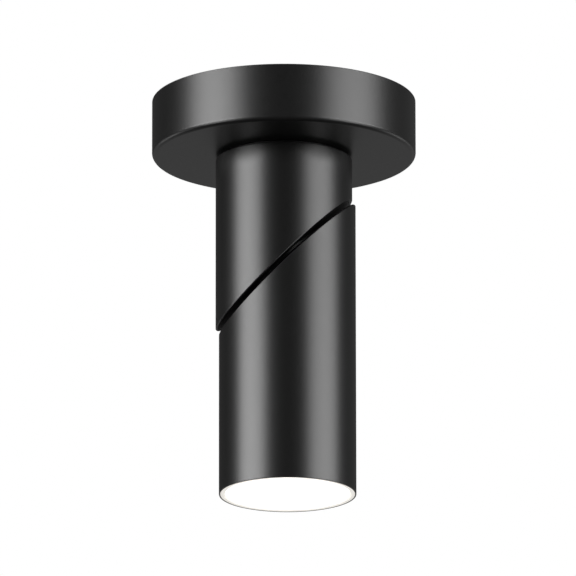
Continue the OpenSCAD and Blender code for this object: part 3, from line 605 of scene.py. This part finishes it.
# For each slot: name, light and dark colour, grain in mm, roughness and its spread, relief in mm, and more
GRAINED_FINISHES = {
    # Steel sheet with a bright zinc plating, faintly blue and cloudy
    "zinc_steel": ("zinc_plated_steel", "#c9cdd2", "#a9afb8", 1.6, 0.36, 0.05, 0.001, METAL),
    # Hardened spring steel, darker than zinc, with a fine ground grain
    "spring_steel": ("spring_steel", "#a3a5a8", "#7f8184", 0.4, 0.32, 0.06, 0.003, METAL),
    # Free-cutting brass, turned, with rings left by the tool
    "brass": ("turned_brass", "#d9b968", "#b8924a", 0.5, 0.27, 0.06, 0.001,
              {**METAL, "stretch": (0.2, 0.2, 2)}),
    # Extruded aluminium, with lines along the extrusion
    "aluminium": ("extruded_aluminium", "#cdd0d3", "#a7abaf", 0.6, 0.38, 0.07, 0.006,
                  {**METAL, "stretch": (1, 1, 0.05)}),
    # Glass-filled black nylon, matt from its mould
    "black_nylon": ("moulded_black_nylon", "#1a1a1b", "#101011", 0.5, 0.55, 0.06, 0.008, {}),
    # Natural nylon, slightly yellow and waxy
    "natural_nylon": ("natural_nylon", "#f1eee4", "#e2ddcf", 1.2, 0.4, 0.05, 0.003, {}),
    # White polycarbonate with the even sparkle of a spark-eroded mould, about 0.3 mm from pit to pit
    "driver_case": ("spark_eroded_polycarbonate", "#ececea", "#dededb", 0.3, 0.5, 0.05, 0.02, {}),
    # Grey closed-cell foam tape, with pores of about 0.6 mm
    "foam": ("closed_cell_foam", "#9a9da1", "#6f7276", 0.6, 0.9, 0.05, 0.08, {}),
    # Natural polyamide of a terminal block, a little translucent and ivory
    "terminal_plastic": ("natural_polyamide", "#f2efe6", "#e3dfd2", 0.9, 0.36, 0.05, 0.004, {}),
    # Brown and blue PVC insulation, extruded, half gloss
    "brown_pvc": ("brown_pvc", "#7d4c2c", "#6a3e22", 0.8, 0.42, 0.05, 0.004, {}),
    "blue_pvc": ("blue_pvc", "#2f62a6", "#25528f", 0.8, 0.42, 0.05, 0.004, {}),
    # Silicone sheath of the lamp's lead, dull and dusty white
    "lead_silicone": ("silicone_sheath", "#e9e6de", "#d8d4ca", 0.7, 0.62, 0.05, 0.006, {}),
    # White solder mask on the lamp's board
    "board_white": ("white_solder_mask", "#f6f6f3", "#e9e9e4", 0.4, 0.3, 0.04, 0.002, {}),
    # Yellow phosphor over the chips, dull and granular, and lit
    "phosphor": ("phosphor_coating", "#f3cf4d", "#dfae2c", 0.25, 0.7, 0.05, 0.01,
                 {"Emission Color": linear("#fff0c8"), "Emission Strength": 2.0}),
    # White polyester of the board's holder
    "holder_plastic": ("white_polyester", "#efefec", "#e0e0dc", 0.6, 0.45, 0.05, 0.005, {}),
    # White polycarbonate reflector, glossy from a polished mould, with a painted glow: a weak emission,
    # though it is no lamp, that keeps it white all over
    "reflector_white": ("polished_white_polycarbonate", "#f6f6f4", "#ededea", 2.5, 0.25, 0.03, 0.002,
                        {"Emission Color": linear("#fff8ee"), "Emission Strength": 0.35}),
}
OTHER_FINISHES = {"black_coat": powder_coat, "green_pvc": striped_wire, "frosted_glass": lit_diffuser}


@cache
def finish(slot):
    """The finish of one of the record's material slots, made when it is first asked for."""
    if slot in OTHER_FINISHES:
        return OTHER_FINISHES[slot]()
    *values, further = GRAINED_FINISHES[slot]
    return grained_finish(*values, **further)


# One operator for each piece or group


class SPOTLIGHT_OT_canopy(bpy.types.Operator):
    """Makes the canopy, a drum spun from sheet, with its pivot hole and the holes of its side screws"""
    bl_idname = "spotlight.canopy"
    bl_label = "Canopy"

    def execute(self, context):
        s = context.scene.spotlight_sizes
        inner, floor = s.canopy_radius - s.canopy_wall, -s.canopy_height + s.canopy_wall
        hole, screw_z = s.pivot_radius + RUNNING_FIT, middle("canopy_screws").z
        canopy = turned_solid("canopy_shell", [
            (hole, floor, FINE_EDGE), (hole, -s.canopy_height, FINE_EDGE),
            (s.canopy_radius, -s.canopy_height, s.canopy_edge), (s.canopy_radius, 0, TURNED_EDGE),
            (inner, 0, TURNED_EDGE), (inner, floor, 0.5 * MM)], 288)
        for side in (-1, 1):
            drill(canopy, (side * (inner - MM), 0, screw_z), (side, 0, 0), SCREW_HOLE,
                  s.canopy_wall + 2 * MM, 32)
        hand_over(canopy, "black_coat", "canopy")
        return {"FINISHED"}


class SPOTLIGHT_OT_tubes(bpy.types.Operator):
    """Makes the neck and the head, a tube parted by a rounded oblique cut, with a rim round the mouth"""
    bl_idname = "spotlight.tubes"
    bl_label = "Neck and head"

    def execute(self, context):
        s = context.scene.spotlight_sizes
        outer, inner, seat = s.tube_radius, s.tube_radius - s.tube_wall, s.tube_radius - s.rim
        top, mouth, axis_x = highest("neck_tube").z, lowest("head_tube").z, middle("head_tube").x
        gap, inner_edge = axis_x / ELBOW_AXIS.x, 0.12 * MM

        def neck_at(angle):
            x = math.cos(angle)
            return rounded_section([(outer, top, TURNED_EDGE), (inner, top, FINE_EDGE),
                                    (inner, cut_height(inner * x), inner_edge),
                                    (outer, cut_height(outer * x), s.cut_edge)], 8)

        def head_at(angle):
            x = math.cos(angle)
            return rounded_section([(outer, mouth, TURNED_EDGE),
                                    (outer, cut_height(axis_x + outer * x, gap), s.cut_edge),
                                    (inner, cut_height(axis_x + inner * x, gap), inner_edge),
                                    (inner, mouth + LIP_SEAT, 0), (seat, mouth + LIP_SEAT, 0),
                                    (seat, mouth, FINE_EDGE)], 8)

        hand_over(ring_solid("neck_shell", neck_at), "black_coat", "neck_tube")
        hand_over(ring_solid("head_shell", head_at, axis_x=axis_x), "black_coat", "head_tube")
        return {"FINISHED"}


class SPOTLIGHT_OT_end_plates(bpy.types.Operator):
    """Makes the two oblique plates that close the cut ends, with the bosses that turn on each other"""
    bl_idname = "spotlight.end_plates"
    bl_label = "End plates"

    def execute(self, context):
        s, axis_x = context.scene.spotlight_sizes, middle("head_tube").x
        radius, gap, film = highest("heat_sink").x - middle("heat_sink").x, axis_x / ELBOW_AXIS.x, 0.1 * MM
        proud = (gap - film) / 2
        for node, centre, low, boss_low, fit in (
                ("neck_end_plate", 0.0, -PLATE, -PLATE / 2, PRESS_FIT),
                ("head_end_plate", axis_x, gap, gap - proud, RUNNING_FIT)):

            def section_at(angle):
                x = centre + radius * math.cos(angle)
                return rounded_section([
                    (0, cut_height(centre, low), 0), (radius, cut_height(x, low), 0.25 * MM),
                    (radius, cut_height(x, low + PLATE), FINE_EDGE), (0, cut_height(centre, low + PLATE), 0)])

            plate = ring_solid(node.replace("_end", "_closing"), section_at, 192, centre, closed=False)
            boss = disc_solid("boss", s.tube_radius - GROOVE_DEPTH, boss_low, boss_low + proud + PLATE / 2,
                              MOULDED_EDGE, 128)
            boss.data.transform(elbow_place())
            cut_or_join(plate, boss, "UNION")
            drill(plate, ELBOW_CENTRE - ELBOW_AXIS * 12 * MM, ELBOW_AXIS, s.pivot_radius + fit, 30 * MM)
            if node == "head_end_plate":
                pin_radius, pin_tall = 1.5 * MM, highest("elbow_stop_pin").z - lowest("elbow_stop_pin").z
                pin_length = (pin_tall - 2 * pin_radius * ELBOW_AXIS.x) / -ELBOW_AXIS.z
                pin_foot = middle("elbow_stop_pin") - ELBOW_AXIS * (pin_length / 2 + PRESS_FIT)
                drill(plate, pin_foot, ELBOW_AXIS, pin_radius + PRESS_FIT, 20 * MM, 32)
            hand_over(plate, "black_coat", node)
        return {"FINISHED"}


class SPOTLIGHT_OT_swivel_pad(bpy.types.Operator):
    """Makes the slip pad that shows as a shadow gap between canopy and neck"""
    bl_idname = "spotlight.swivel_pad"
    bl_label = "Swivel pad"

    def execute(self, context):
        low, high = lowest("swivel_pad"), highest("swivel_pad")
        hole = context.scene.spotlight_sizes.pivot_radius + 0.1 * MM
        pad = turned_solid("swivel_slip_pad", [(radius, height, MOULDED_EDGE) for radius, height in (
            (hole, low.z), (high.x, low.z), (high.x, high.z), (hole, high.z))])
        hand_over(pad, "black_nylon", "swivel_pad")
        return {"FINISHED"}


class SPOTLIGHT_OT_reflector(bpy.types.Operator):
    """Makes the reflector: a bowl on its arc, with a lip, a shelf for the diffuser and a throat ring"""
    bl_idname = "spotlight.reflector"
    bl_label = "Reflector"

    def execute(self, context):
        s, axis_x, lip = context.scene.spotlight_sizes, middle("reflector").x, lowest("reflector").z
        wall, narrowing = s.bowl_wall, s.bowl_radius - s.throat_radius
        arc = (narrowing ** 2 + s.bowl_depth ** 2) / (2 * narrowing)
        bowl = linked("reflector_bowl", bpy.data.meshes.new("reflector_bowl"))
        run_tree(bowl, bowl_tree(), "reflector_white", {
            "Lip radius": s.bowl_radius, "Arc radius": arc, "Depth": s.bowl_depth, "Wall": wall,
            "Lip centre": (axis_x, 0, lip)})
        # The shelf follows the wall from the diffuser's back to the throat, and its parts sink into the wall
        shelf, shelf_width, throat, steps = highest("diffuser").z - lip, 1.6 * MM, lip + s.bowl_depth, 8
        climb = [shelf + (s.bowl_depth - shelf) * i / steps for i in range(steps + 1)]
        wall_at = [(s.bowl_radius - arc + math.sqrt(arc ** 2 - height ** 2), height) for height in climb]
        outer_lip, bury, bead, hole = highest("reflector").x - axis_x, wall / 2, 0.3 * MM, 9.75 * MM
        for corners in (
                [(s.bowl_radius + bury, lip - bead, THIN_EDGE), (outer_lip, lip - bead, MOULDED_EDGE),
                 (outer_lip, lip + wall, MOULDED_EDGE), (s.bowl_radius + bury / 2, lip + wall, 0)],
                [(wall_at[0][0] - shelf_width, lip + shelf, 0),
                 *((radius + bury, lip + height, 0) for radius, height in wall_at),
                 (s.throat_radius, throat, 0)],
                [(hole, throat, THIN_EDGE), (s.throat_radius + bury, throat - bury / 4, 0),
                 (s.throat_radius + wall, throat + wall, THIN_EDGE), (hole, throat + wall, THIN_EDGE)]):
            cut_or_join(bowl, turned_solid("part", corners, 192, axis_x), "UNION")
        hand_over(bowl, "reflector_white", "reflector")
        return {"FINISHED"}


class SPOTLIGHT_OT_diffuser(bpy.types.Operator):
    """Makes the frosted glass disc and the ring that holds it in the reflector"""
    bl_idname = "spotlight.diffuser"
    bl_label = "Diffuser"

    def execute(self, context):
        low, high, axis_x = lowest("diffuser"), highest("diffuser"), middle("diffuser").x
        disc = disc_solid("diffuser_disc", high.x - axis_x, low.z, high.z, 0.3 * MM, 192, axis_x)
        hand_over(disc, "frosted_glass", "diffuser")
        low, high, width = lowest("diffuser_ring"), highest("diffuser_ring"), 1.6 * MM
        outer, inner = high.x - axis_x, high.x - axis_x - width
        ring = turned_solid("diffuser_snap_ring", [
            (inner, low.z, MOULDED_EDGE), (outer, low.z, MOULDED_EDGE), (outer, high.z, THIN_EDGE),
            (inner, high.z, THIN_EDGE)], 192, axis_x)
        # The ring takes the reflector's white finish, painted glow included
        hand_over(ring, "reflector_white", "diffuser_ring")
        return {"FINISHED"}


class SPOTLIGHT_OT_heat_sink(bpy.types.Operator):
    """Makes the heat sink: a base and a core with fins round it, a way for the lead and two screw holes"""
    bl_idname = "spotlight.heat_sink"
    bl_label = "Heat sink"

    def execute(self, context):
        s, axis_x = context.scene.spotlight_sizes, middle("heat_sink").x
        low, high = lowest("heat_sink"), highest("heat_sink")
        radius, base, core, overlap = high.x - axis_x, low.z + s.base_height, s.core_radius, 0.4 * MM
        sink = turned_solid("finned_heat_sink", [
            (0, low.z, 0), (radius, low.z, TURNED_EDGE), (radius, base, TURNED_EDGE), (core, base, 0),
            (core, high.z, 0.5 * MM), (0, high.z, 0)], 128, axis_x, closed=False)
        fin_start, fin_end, tall = core - 0.5 * MM, radius - 0.02 * MM, high.z - base + overlap
        run_tree(sink, fin_tree(), "aluminium", {
            "Fins": s.fins, "Fin size": (fin_end - fin_start, s.fin_thickness, tall),
            "Fin middle": ((fin_end + fin_start) / 2, 0, tall / 2), "Foot": (axis_x, 0, base - overlap)})
        lead_x, screw_y = highest("head_lead").x - s.lead_radius, highest("holder_screws").y - HOLDER_HEAD
        lead_hole = 2.3 * MM
        drill(sink, (lead_x, 0, low.z - MM), (0, 0, 1), lead_hole, high.z - low.z + 2 * MM, 48)
        for side in (-1, 1):
            drill(sink, (axis_x, side * screw_y, low.z - MM), (0, 0, 1), SCREW_HOLE, s.base_height, 32)
        hand_over(sink, "aluminium", "heat_sink")
        return {"FINISHED"}


class SPOTLIGHT_OT_pivots(bpy.types.Operator):
    """Makes the two hollow pivots with their threads: the swivel's nipple and the elbow's flanged pivot"""
    bl_idname = "spotlight.pivots"
    bl_label = "Pivots"

    def execute(self, context):
        s, threads, slope, edge = context.scene.spotlight_sizes, thread_tree(), THREAD_DEPTH, MOULDED_EDGE
        radius, bore, root = s.pivot_radius, s.pivot_bore, s.pivot_radius - THREAD_DEPTH
        cut = {"Root radius": root, "Depth": THREAD_DEPTH, "Pitch": THREAD_PITCH}
        low, high = lowest("swivel_nipple").z, highest("swivel_nipple").z
        plain_low, plain_high, run_in, thread_length = low + 5 * MM, high - 6 * MM, 0.3 * MM, 5.4 * MM
        nipple = turned_solid("swivel_nipple_tube", [
            (bore, low, edge), (root, low, edge), (root, plain_low, 0), (radius, plain_low + slope, 0),
            (radius, plain_high - slope, 0), (root, plain_high, 0), (root, high, edge),
            (bore, high, edge)], 96)
        for start, reach in ((low + edge, 4.5 * MM), (plain_high + run_in, thread_length)):
            run_tree(nipple, threads, "brass", {**cut, "Length": reach, "Start": (0, 0, start)})
        hand_over(nipple, "brass", "swivel_nipple")
        flange, flange_top, end, flange_radius = -6.5 * MM, -4 * MM, 14.4 * MM, 9 * MM
        plain_end = end - 6 * MM
        pivot = turned_solid("elbow_pivot_tube", [
            (bore, flange, edge), (flange_radius, flange, 0.4 * MM), (flange_radius, flange_top, edge),
            (radius, flange_top, 0), (radius, plain_end - slope, 0), (root, plain_end, 0), (root, end, edge),
            (bore, end, edge)], 96)
        start = (0, 0, plain_end + run_in)
        run_tree(pivot, threads, "zinc_steel", {**cut, "Length": thread_length, "Start": start})
        pivot.data.transform(elbow_place())
        hand_over(pivot, "zinc_steel", "elbow_pivot")
        return {"FINISHED"}


class SPOTLIGHT_OT_screws(bpy.types.Operator):
    """Makes the screws of the canopy, the board's holder, the terminal block and the earth terminal"""
    bl_idname = "spotlight.screws"
    bl_label = "Screws"

    def execute(self, context):
        side_x, side_z = highest("canopy_screws").x, middle("canopy_screws").z
        side_length = (side_x - highest("ceiling_bracket").x) / MM + 2.5
        holder, holder_low, holder_high = (f("holder_screws") for f in (middle, lowest, highest))
        holder_y, holder_seat = holder_high.y - HOLDER_HEAD, holder_low.z + 1.8 * MM
        poles, pole_high, earth = middle("terminal_screws"), highest("terminal_screws"), middle("earth_screw")
        pole_y, earth_low, quarter = pole_high.y - poles.y - 1.8 * MM, lowest("earth_screw").z, math.pi / 2
        tree = screw_tree()
        labels = ("Shank radius", "Shank length", "Head radius", "Head height", "Recess size", "Recess depth")
        # Edges and sizes are in millimetres, and each place comes with its turn
        for name, node, slot, edge, places, sizes, slotted in (
                ("canopy_side_screws", "canopy_screws", "black_coat", 0.08,
                 [((side * (side_x - 1.5 * MM), 0, side_z), (0, -side * quarter, 0)) for side in (-1, 1)],
                 (1.35, side_length - 1.5, 1.5, 1.5, 0.85, 1.0), False),
                ("board_holder_screws", "holder_screws", "zinc_steel", 0.15,
                 [((holder.x, side * holder_y, holder_seat), (0, 0, side * 0.4)) for side in (-1, 1)],
                 (1.5, (holder_high.z - holder_low.z) / MM - 1.8, 2.8, 1.8, 1.2, 1.0), False),
                ("terminal_clamp_screws", "terminal_screws", "brass", 0.1,
                 [((pole * POLE_PITCH, poles.y + side * pole_y, pole_high.z - 1.4 * MM),
                   (math.pi, 0, 0.5 + 0.9 * pole + 0.35 * side)) for pole in (-1, 0, 1) for side in (-1, 1)],
                 (1.4, 1.6, 1.8, 1.4, 0.5, 0.6), True),
                ("earth_clamp_screw", "earth_screw", "brass", 0.2,
                 [((earth.x, earth.y, earth_low + 2.4 * MM), (0, 0, 0.7))],
                 (2.0, -earth_low / MM - 2.4, 3.5, 2.4, 1.0, 1.0), True)):
            points = bpy.data.meshes.new(name)
            points.from_pydata([place for place, turn in places], [], [])
            turns = points.attributes.new("turn", "FLOAT_VECTOR", "POINT")
            for i, (place, turn) in enumerate(places):
                turns.data[i].vector = turn
            values = {label: size * MM for label, size in zip(labels, sizes)}
            screws = run_tree(linked(name, points), tree, slot, {**values, "Slotted": slotted})
            hand_over(screws, slot, node, edge * MM)
        return {"FINISHED"}


class SPOTLIGHT_OT_terminal_block(bpy.types.Operator):
    """Makes the terminal block: a foot with three poles in a row, with their screw wells and wire holes"""
    bl_idname = "spotlight.terminal_block"
    bl_label = "Terminal block"

    def execute(self, context):
        low, high, at = lowest("terminal_block"), highest("terminal_block"), middle("terminal_block")
        half_x, half_y, tall = POLE_PITCH / 2 - 0.6 * MM, (high.y - low.y) / 2 - 1.2 * MM, high.z - low.z
        pole = soften_edges(block("pole", (-half_x, -half_y, 0), (half_x, half_y, tall)), 0.7 * MM)
        for side in (-1, 1):
            drill(pole, (0, side * 2.8 * MM, 8 * MM), (0, 0, 1), 1.9 * MM, tall, 40)
        run_tree(pole, row_tree(), "terminal_plastic", {
            "Copies": 3, "Pitch": (POLE_PITCH, 0, 0), "First": (-POLE_PITCH, at.y, low.z)})
        foot = block("terminal_block_body", low, (high.x, high.y, low.z + 0.66 * tall))
        cut_or_join(soften_edges(foot, 0.3 * MM), pole, "UNION")
        for number in (-1, 0, 1):
            drill(foot, (number * POLE_PITCH, low.y - MM, low.z + tall / 2), (0, 1, 0), 1.5 * MM, 8 * MM, 40)
        hand_over(foot, "terminal_plastic", "terminal_block")
        return {"FINISHED"}


class SPOTLIGHT_OT_wires(bpy.types.Operator):
    """Makes the mains wires and the lead that feeds the lamp, each along its route"""
    bl_idname = "spotlight.wires"
    bl_label = "Wires"

    def execute(self, context):
        s, tree = context.scene.spotlight_sizes, wire_tree()
        block_y, block_z = highest("terminal_block").y / MM, middle("terminal_block").z / MM
        driver_y, nipple_z = middle("led_driver").y / MM, highest("swivel_nipple").z / MM
        sink_z, lead_z = lowest("heat_sink").z / MM, nipple_z + 7.25
        # Points on the elbow's axis, by their distance from its centre
        bend_in, pivot_end, lead_start, bend_out = (
            (reach * ELBOW_AXIS.x, 0, ELBOW_CENTRE.z / MM - reach * ELBOW_AXIS.x)
            for reach in (-16.72, 14.4, 14.5, 18.926))
        # Routes in millimetres, from end to end, with one point at each bend
        for node, slot, bend, radius, route in (
                ("live_wire", "brown_pvc", 4, s.mains_radius, [
                    (-9.5, block_y, block_z), (-9.5, -17.5, block_z), (-39.4, -17.5, block_z),
                    (-39.4, driver_y + 2, block_z), (-32, driver_y + 2, block_z)]),
                ("neutral_wire", "blue_pvc", 4, s.mains_radius, [
                    (0, block_y, block_z), (0, -14.6, block_z), (-36.5, -14.6, block_z),
                    (-36.5, driver_y - 2, block_z), (-32, driver_y - 2, block_z)]),
                ("earth_wire", "green_pvc", 4, s.mains_radius, [
                    (9.5, block_y, block_z), (9.5, -17, block_z), (9.5, -17, -3.4), (15.243, -11.946, -3.4)]),
                ("driver_lead", "lead_silicone", 7, s.lead_radius, [
                    (0, 0, nipple_z), (0, 0, lead_z), (0, 14.5, lead_z), (41, 14.5, lead_z),
                    (41, driver_y, lead_z), (32, driver_y, lead_z)]),
                ("neck_lead", "lead_silicone", 9.72, s.lead_radius, [
                    (0, 0, nipple_z - 0.1), (0, 0, bend_in[2] + 12.636), bend_in, pivot_end]),
                ("head_lead", "lead_silicone", 9.72, s.lead_radius, [
                    lead_start, bend_out, (bend_out[0], 0, sink_z)])):
            line = bpy.data.meshes.new(node + "_run")
            line.from_pydata([[c * MM for c in point] for point in route],
                             [(i, i + 1) for i in range(len(route) - 1)], [])
            wire = run_tree(linked(node + "_run", line), tree, slot,
                            {"Bend radius": bend * MM, "Wire radius": radius})
            hand_over(wire, slot, node)
        return {"FINISHED"}


class SPOTLIGHT_OT_driver_pad(bpy.types.Operator):
    """Makes the strip of foam tape that the driver stands on"""
    bl_idname = "spotlight.driver_pad"
    bl_label = "Driver pad"

    def execute(self, context):
        pad = block("driver_foam_tape", lowest("driver_foam_pad"), highest("driver_foam_pad"))
        hand_over(pad, "foam", "driver_foam_pad", 0.3 * MM)
        return {"FINISHED"}


class SPOTLIGHT_OT_small_parts(bpy.types.Operator):
    """Makes the pressed, turned and moulded small parts from the CAD solids, with broken edges"""
    bl_idname = "spotlight.small_parts"
    bl_label = "Small parts"

    def execute(self, context):
        # The last number is the width of the bevel, counted in edge breaks
        for node, name, slot, breaks in (
                ("ceiling_bracket", "mounting_bracket", "zinc_steel", 1),
                ("stop_post", "swivel_stop_post", "zinc_steel", 2),
                ("led_driver", "driver_case", "driver_case", 3),
                ("earth_terminal", "earth_ring_terminal", "zinc_steel", 0.5),
                ("swivel_slip_washer", "swivel_slip_disc", "natural_nylon", 1),
                ("swivel_stop_washer", "swivel_tab_washer", "zinc_steel", 1),
                ("swivel_spring_washer", "swivel_spring_disc", "spring_steel", 0.5),
                ("swivel_nut", "swivel_hex_nut", "brass", 1),
                ("cap_locknut", "cap_hex_locknut", "brass", 1),
                ("neck_cap", "neck_cap_disc", "aluminium", 1),
                ("elbow_slip_washer", "elbow_slip_disc", "natural_nylon", 1),
                ("elbow_stop_washer", "elbow_tab_washer", "zinc_steel", 1),
                ("elbow_spring_washer", "elbow_spring_disc", "spring_steel", 0.5),
                ("elbow_nut", "elbow_hex_nut", "zinc_steel", 1),
                ("elbow_stop_pin", "elbow_pin", "zinc_steel", 2),
                ("led_board", "lamp_board", "board_white", 0.5),
                ("led_emitter", "lamp_chip", "phosphor", 1),
                ("led_holder", "board_holder", "holder_plastic", 1)):
            hand_over(dressed_copy(node, name), slot, node, breaks * context.scene.spotlight_sizes.edge_break)
        return {"FINISHED"}


class SPOTLIGHT_OT_studio(bpy.types.Operator):
    """Sets up the camera, the softboxes, the white surroundings, the floor, a dark drape and a paper ring"""
    bl_idname = "spotlight.studio"
    bl_label = "Studio"

    def execute(self, context):
        scene, s = context.scene, context.scene.spotlight_studio
        scene.view_settings.view_transform = "Standard"
        self.camera(s, scene)
        self.softboxes(s)
        self.surroundings(scene)
        floor, drape = self.floor(), self.drape()
        ring = self.paper_ring(scene.spotlight_sizes.canopy_radius)
        return {"FINISHED"}

    def camera(self, s, scene):
        """Looks up at the light from a few metres below, through a long lens."""
        sight = Vector((math.sin(s.turn) * math.cos(s.rise), math.cos(s.turn) * math.cos(s.rise),
                        math.sin(s.rise)))
        right = Vector((math.cos(s.turn), -math.sin(s.turn), 0))
        up = right.cross(sight)
        rolled_right = right * math.cos(s.roll) + up * math.sin(s.roll)
        rolled_up = up * math.cos(s.roll) - right * math.sin(s.roll)
        data = bpy.data.cameras.new("Camera")
        data.lens, data.sensor_width = s.lens, 36
        scene.camera = linked("Camera", data)
        place = right * s.aside - Vector((0, 0, s.drop)) - sight * s.distance
        turn = Matrix((rolled_right, rolled_up, -sight)).transposed().to_4x4()
        scene.camera.matrix_world = Matrix.Translation(place) @ turn

    def softboxes(self, s):
        """Two high softboxes draw the streaks on the tube, and four low ones draw those seen from above."""
        toward_camera = Vector((-math.sin(s.turn), -math.cos(s.turn), 0))
        front, back = s.box_angle, math.pi - s.box_angle
        for name, turn, radiance, width, rise in (
                ("Left softbox", -front, s.left_radiance, s.left_width, s.high_rise),
                ("Right softbox", front, s.right_radiance, s.right_width, s.high_rise),
                ("Low left softbox", -front, s.low_radiance, s.low_width, -s.low_drop),
                ("Low right softbox", front, s.low_radiance, s.low_width, -s.low_drop),
                ("Back left softbox", -back, s.back_radiance, s.low_width, -s.low_drop),
                ("Back right softbox", back, s.back_radiance, s.low_width, -s.low_drop)):
            data = bpy.data.lights.new(name, "AREA")
            data.shape, data.size, data.size_y = "ELLIPSE", width, s.box_height
            # An even lamp's power is pi times its radiance times its area, here the area of an oval
            data.energy = radiance * math.pi * (math.pi / 4 * width * s.box_height)
            lamp = linked(name, data)
            place = Matrix.Rotation(turn, 3, "Z") @ toward_camera * s.box_distance
            lamp.location = place + Vector((0, 0, rise))
            lamp.rotation_euler = (-place).to_track_quat("-Z", "Y").to_euler()
            lamp.visible_camera = False
            # The low ones are for gloss alone, so that the object's colours stay at a plain level
            lamp.visible_diffuse = rise > 0

    def surroundings(self, scene):
        """White for the camera, gloss and glass, and half as bright where the world lights the object."""
        scene.world = bpy.data.worlds.new("Studio")
        scene.world.use_nodes = True
        scene.world.node_tree.nodes.clear()
        add = partial(add_node, scene.world.node_tree)
        path = add("ShaderNodeLightPath").outputs
        shown = add("ShaderNodeMath", {0: path["Is Camera Ray"], 1: path["Is Glossy Ray"]},
                    operation="MAXIMUM")
        seen = add("ShaderNodeMath", {0: shown, 1: path["Is Transmission Ray"]}, operation="MAXIMUM")
        level = add("ShaderNodeMapRange", {"Value": seen, "To Min": 0.5, "To Max": 1.0})
        end_finish(add, {"Color": (1, 1, 1, 1), "Strength": level}, "ShaderNodeBackground",
                   "ShaderNodeOutputWorld")

    def floor(self):
        """A pale floor, far below."""
        pale, add, _ = new_finish("pale_floor")
        end_finish(add, {"Base Color": linear("#f2f2f0"), "Roughness": 0.9})
        mesh = bmesh.new()
        bmesh.ops.create_circle(mesh, cap_ends=True, segments=96, radius=16)
        floor = made_object("Floor", mesh)
        floor.location.z = -6
        floor.data.materials.append(pale)
        return floor

    def drape(self):
        """A dark drape round the set, seen in gloss alone, that keeps the black coat black."""
        cloth, add, place = new_finish("dark_drape")
        # It is palest where the canopy's underside mirrors it, low down behind the object, a little paler
        # on the right than on the left, and dark elsewhere
        axes = add("ShaderNodeSeparateXYZ", {0: place}).outputs
        by_height, behind, on_the_right = (
            add("ShaderNodeMapRange", {
                "Value": axes[axis], "From Min": start, "From Max": end, "To Min": first, "To Max": last},
                interpolation_type="SMOOTHSTEP")
            for axis, start, end, first, last in (
                ("Z", -1.2, 0.6, 0.22, 0.05), ("Y", 2.0, 6.5, 0.0, 1.0), ("X", 0.5, 5.0, 0.02, 0.08)))
        level = add("ShaderNodeMath", {0: behind, 1: by_height, 2: on_the_right}, operation="MULTIPLY_ADD")
        end_finish(add, {"Color": (1, 1, 1, 1), "Strength": level}, "ShaderNodeEmission")
        cloth.cycles.emission_sampling = "NONE"
        radius, foot, tall = 7, -5.9, 15
        mesh = bmesh.new()
        bmesh.ops.create_cone(mesh, cap_ends=False, segments=64, radius1=radius, radius2=radius, depth=tall,
                              matrix=Matrix.Translation((0, 0, foot + tall / 2)))
        bmesh.ops.create_circle(mesh, cap_ends=True, segments=64, radius=radius,
                                matrix=Matrix.Translation((0, 0, foot)))
        drape = made_object("Drape", mesh)
        drape.data.materials.append(cloth)
        drape.visible_camera = drape.visible_diffuse = False
        drape.visible_shadow = drape.visible_transmission = False
        return drape

    def paper_ring(self, canopy_radius):
        """A ring of white paper above the canopy, out of sight, that keeps glare off the bracket."""
        paper, add, place = new_finish("white_paper")
        # Paler on the left, where the stronger lamp stands
        level = add("ShaderNodeMapRange", {
            "Value": add("ShaderNodeSeparateXYZ", {0: place}), "From Min": -canopy_radius,
            "From Max": canopy_radius, "To Min": 1.2, "To Max": 0.6})
        end_finish(add, {"Color": (1, 1, 1, 1), "Strength": level}, "ShaderNodeEmission")
        height, clearance = 200 * MM, 0.1 * MM
        mesh = bmesh.new()
        bmesh.ops.create_cone(mesh, cap_ends=False, segments=96, radius1=canopy_radius + clearance,
                              radius2=canopy_radius * 1.5, depth=height,
                              matrix=Matrix.Translation((0, 0, height / 2 + clearance)))
        ring = made_object("Paper_ring", mesh)
        ring.data.materials.append(paper)
        ring.visible_camera = ring.visible_transmission = False
        return ring


class SPOTLIGHT_PT_panel(bpy.types.Panel):
    """Lists the pieces with their settings"""
    bl_idname = "SPOTLIGHT_PT_panel"
    bl_label = "Ceiling spotlight"
    bl_space_type = "VIEW_3D"
    bl_region_type = "UI"
    bl_category = "Spotlight"

    def draw(self, context):
        for step in STEPS:
            self.layout.operator(step.bl_idname)
        for field, group in GROUPS.items():
            box = self.layout.box()
            box.label(text=group.__name__)
            for name in group.__annotations__:
                box.prop(getattr(context.scene, field), name)


GROUPS = {"spotlight_sizes": Sizes, "spotlight_finishes": Finishes, "spotlight_studio": Studio}
STEPS = (SPOTLIGHT_OT_studio, SPOTLIGHT_OT_canopy, SPOTLIGHT_OT_tubes, SPOTLIGHT_OT_end_plates,
         SPOTLIGHT_OT_swivel_pad, SPOTLIGHT_OT_reflector, SPOTLIGHT_OT_diffuser, SPOTLIGHT_OT_heat_sink,
         SPOTLIGHT_OT_pivots, SPOTLIGHT_OT_screws, SPOTLIGHT_OT_terminal_block, SPOTLIGHT_OT_wires,
         SPOTLIGHT_OT_driver_pad, SPOTLIGHT_OT_small_parts)
CLASSES = (*GROUPS.values(), *STEPS, SPOTLIGHT_PT_panel)


def register():
    for one in CLASSES:
        bpy.utils.register_class(one)
    for field, group in GROUPS.items():
        setattr(bpy.types.Scene, field, bpy.props.PointerProperty(type=group))


def unregister():
    for field in GROUPS:
        delattr(bpy.types.Scene, field)
    for one in reversed(CLASSES):
        bpy.utils.unregister_class(one)


def main():
    register()
    for step in STEPS:
        getattr(bpy.ops.spotlight, step.bl_idname.split(".")[1])()


if __name__ == "__main__":
    main()
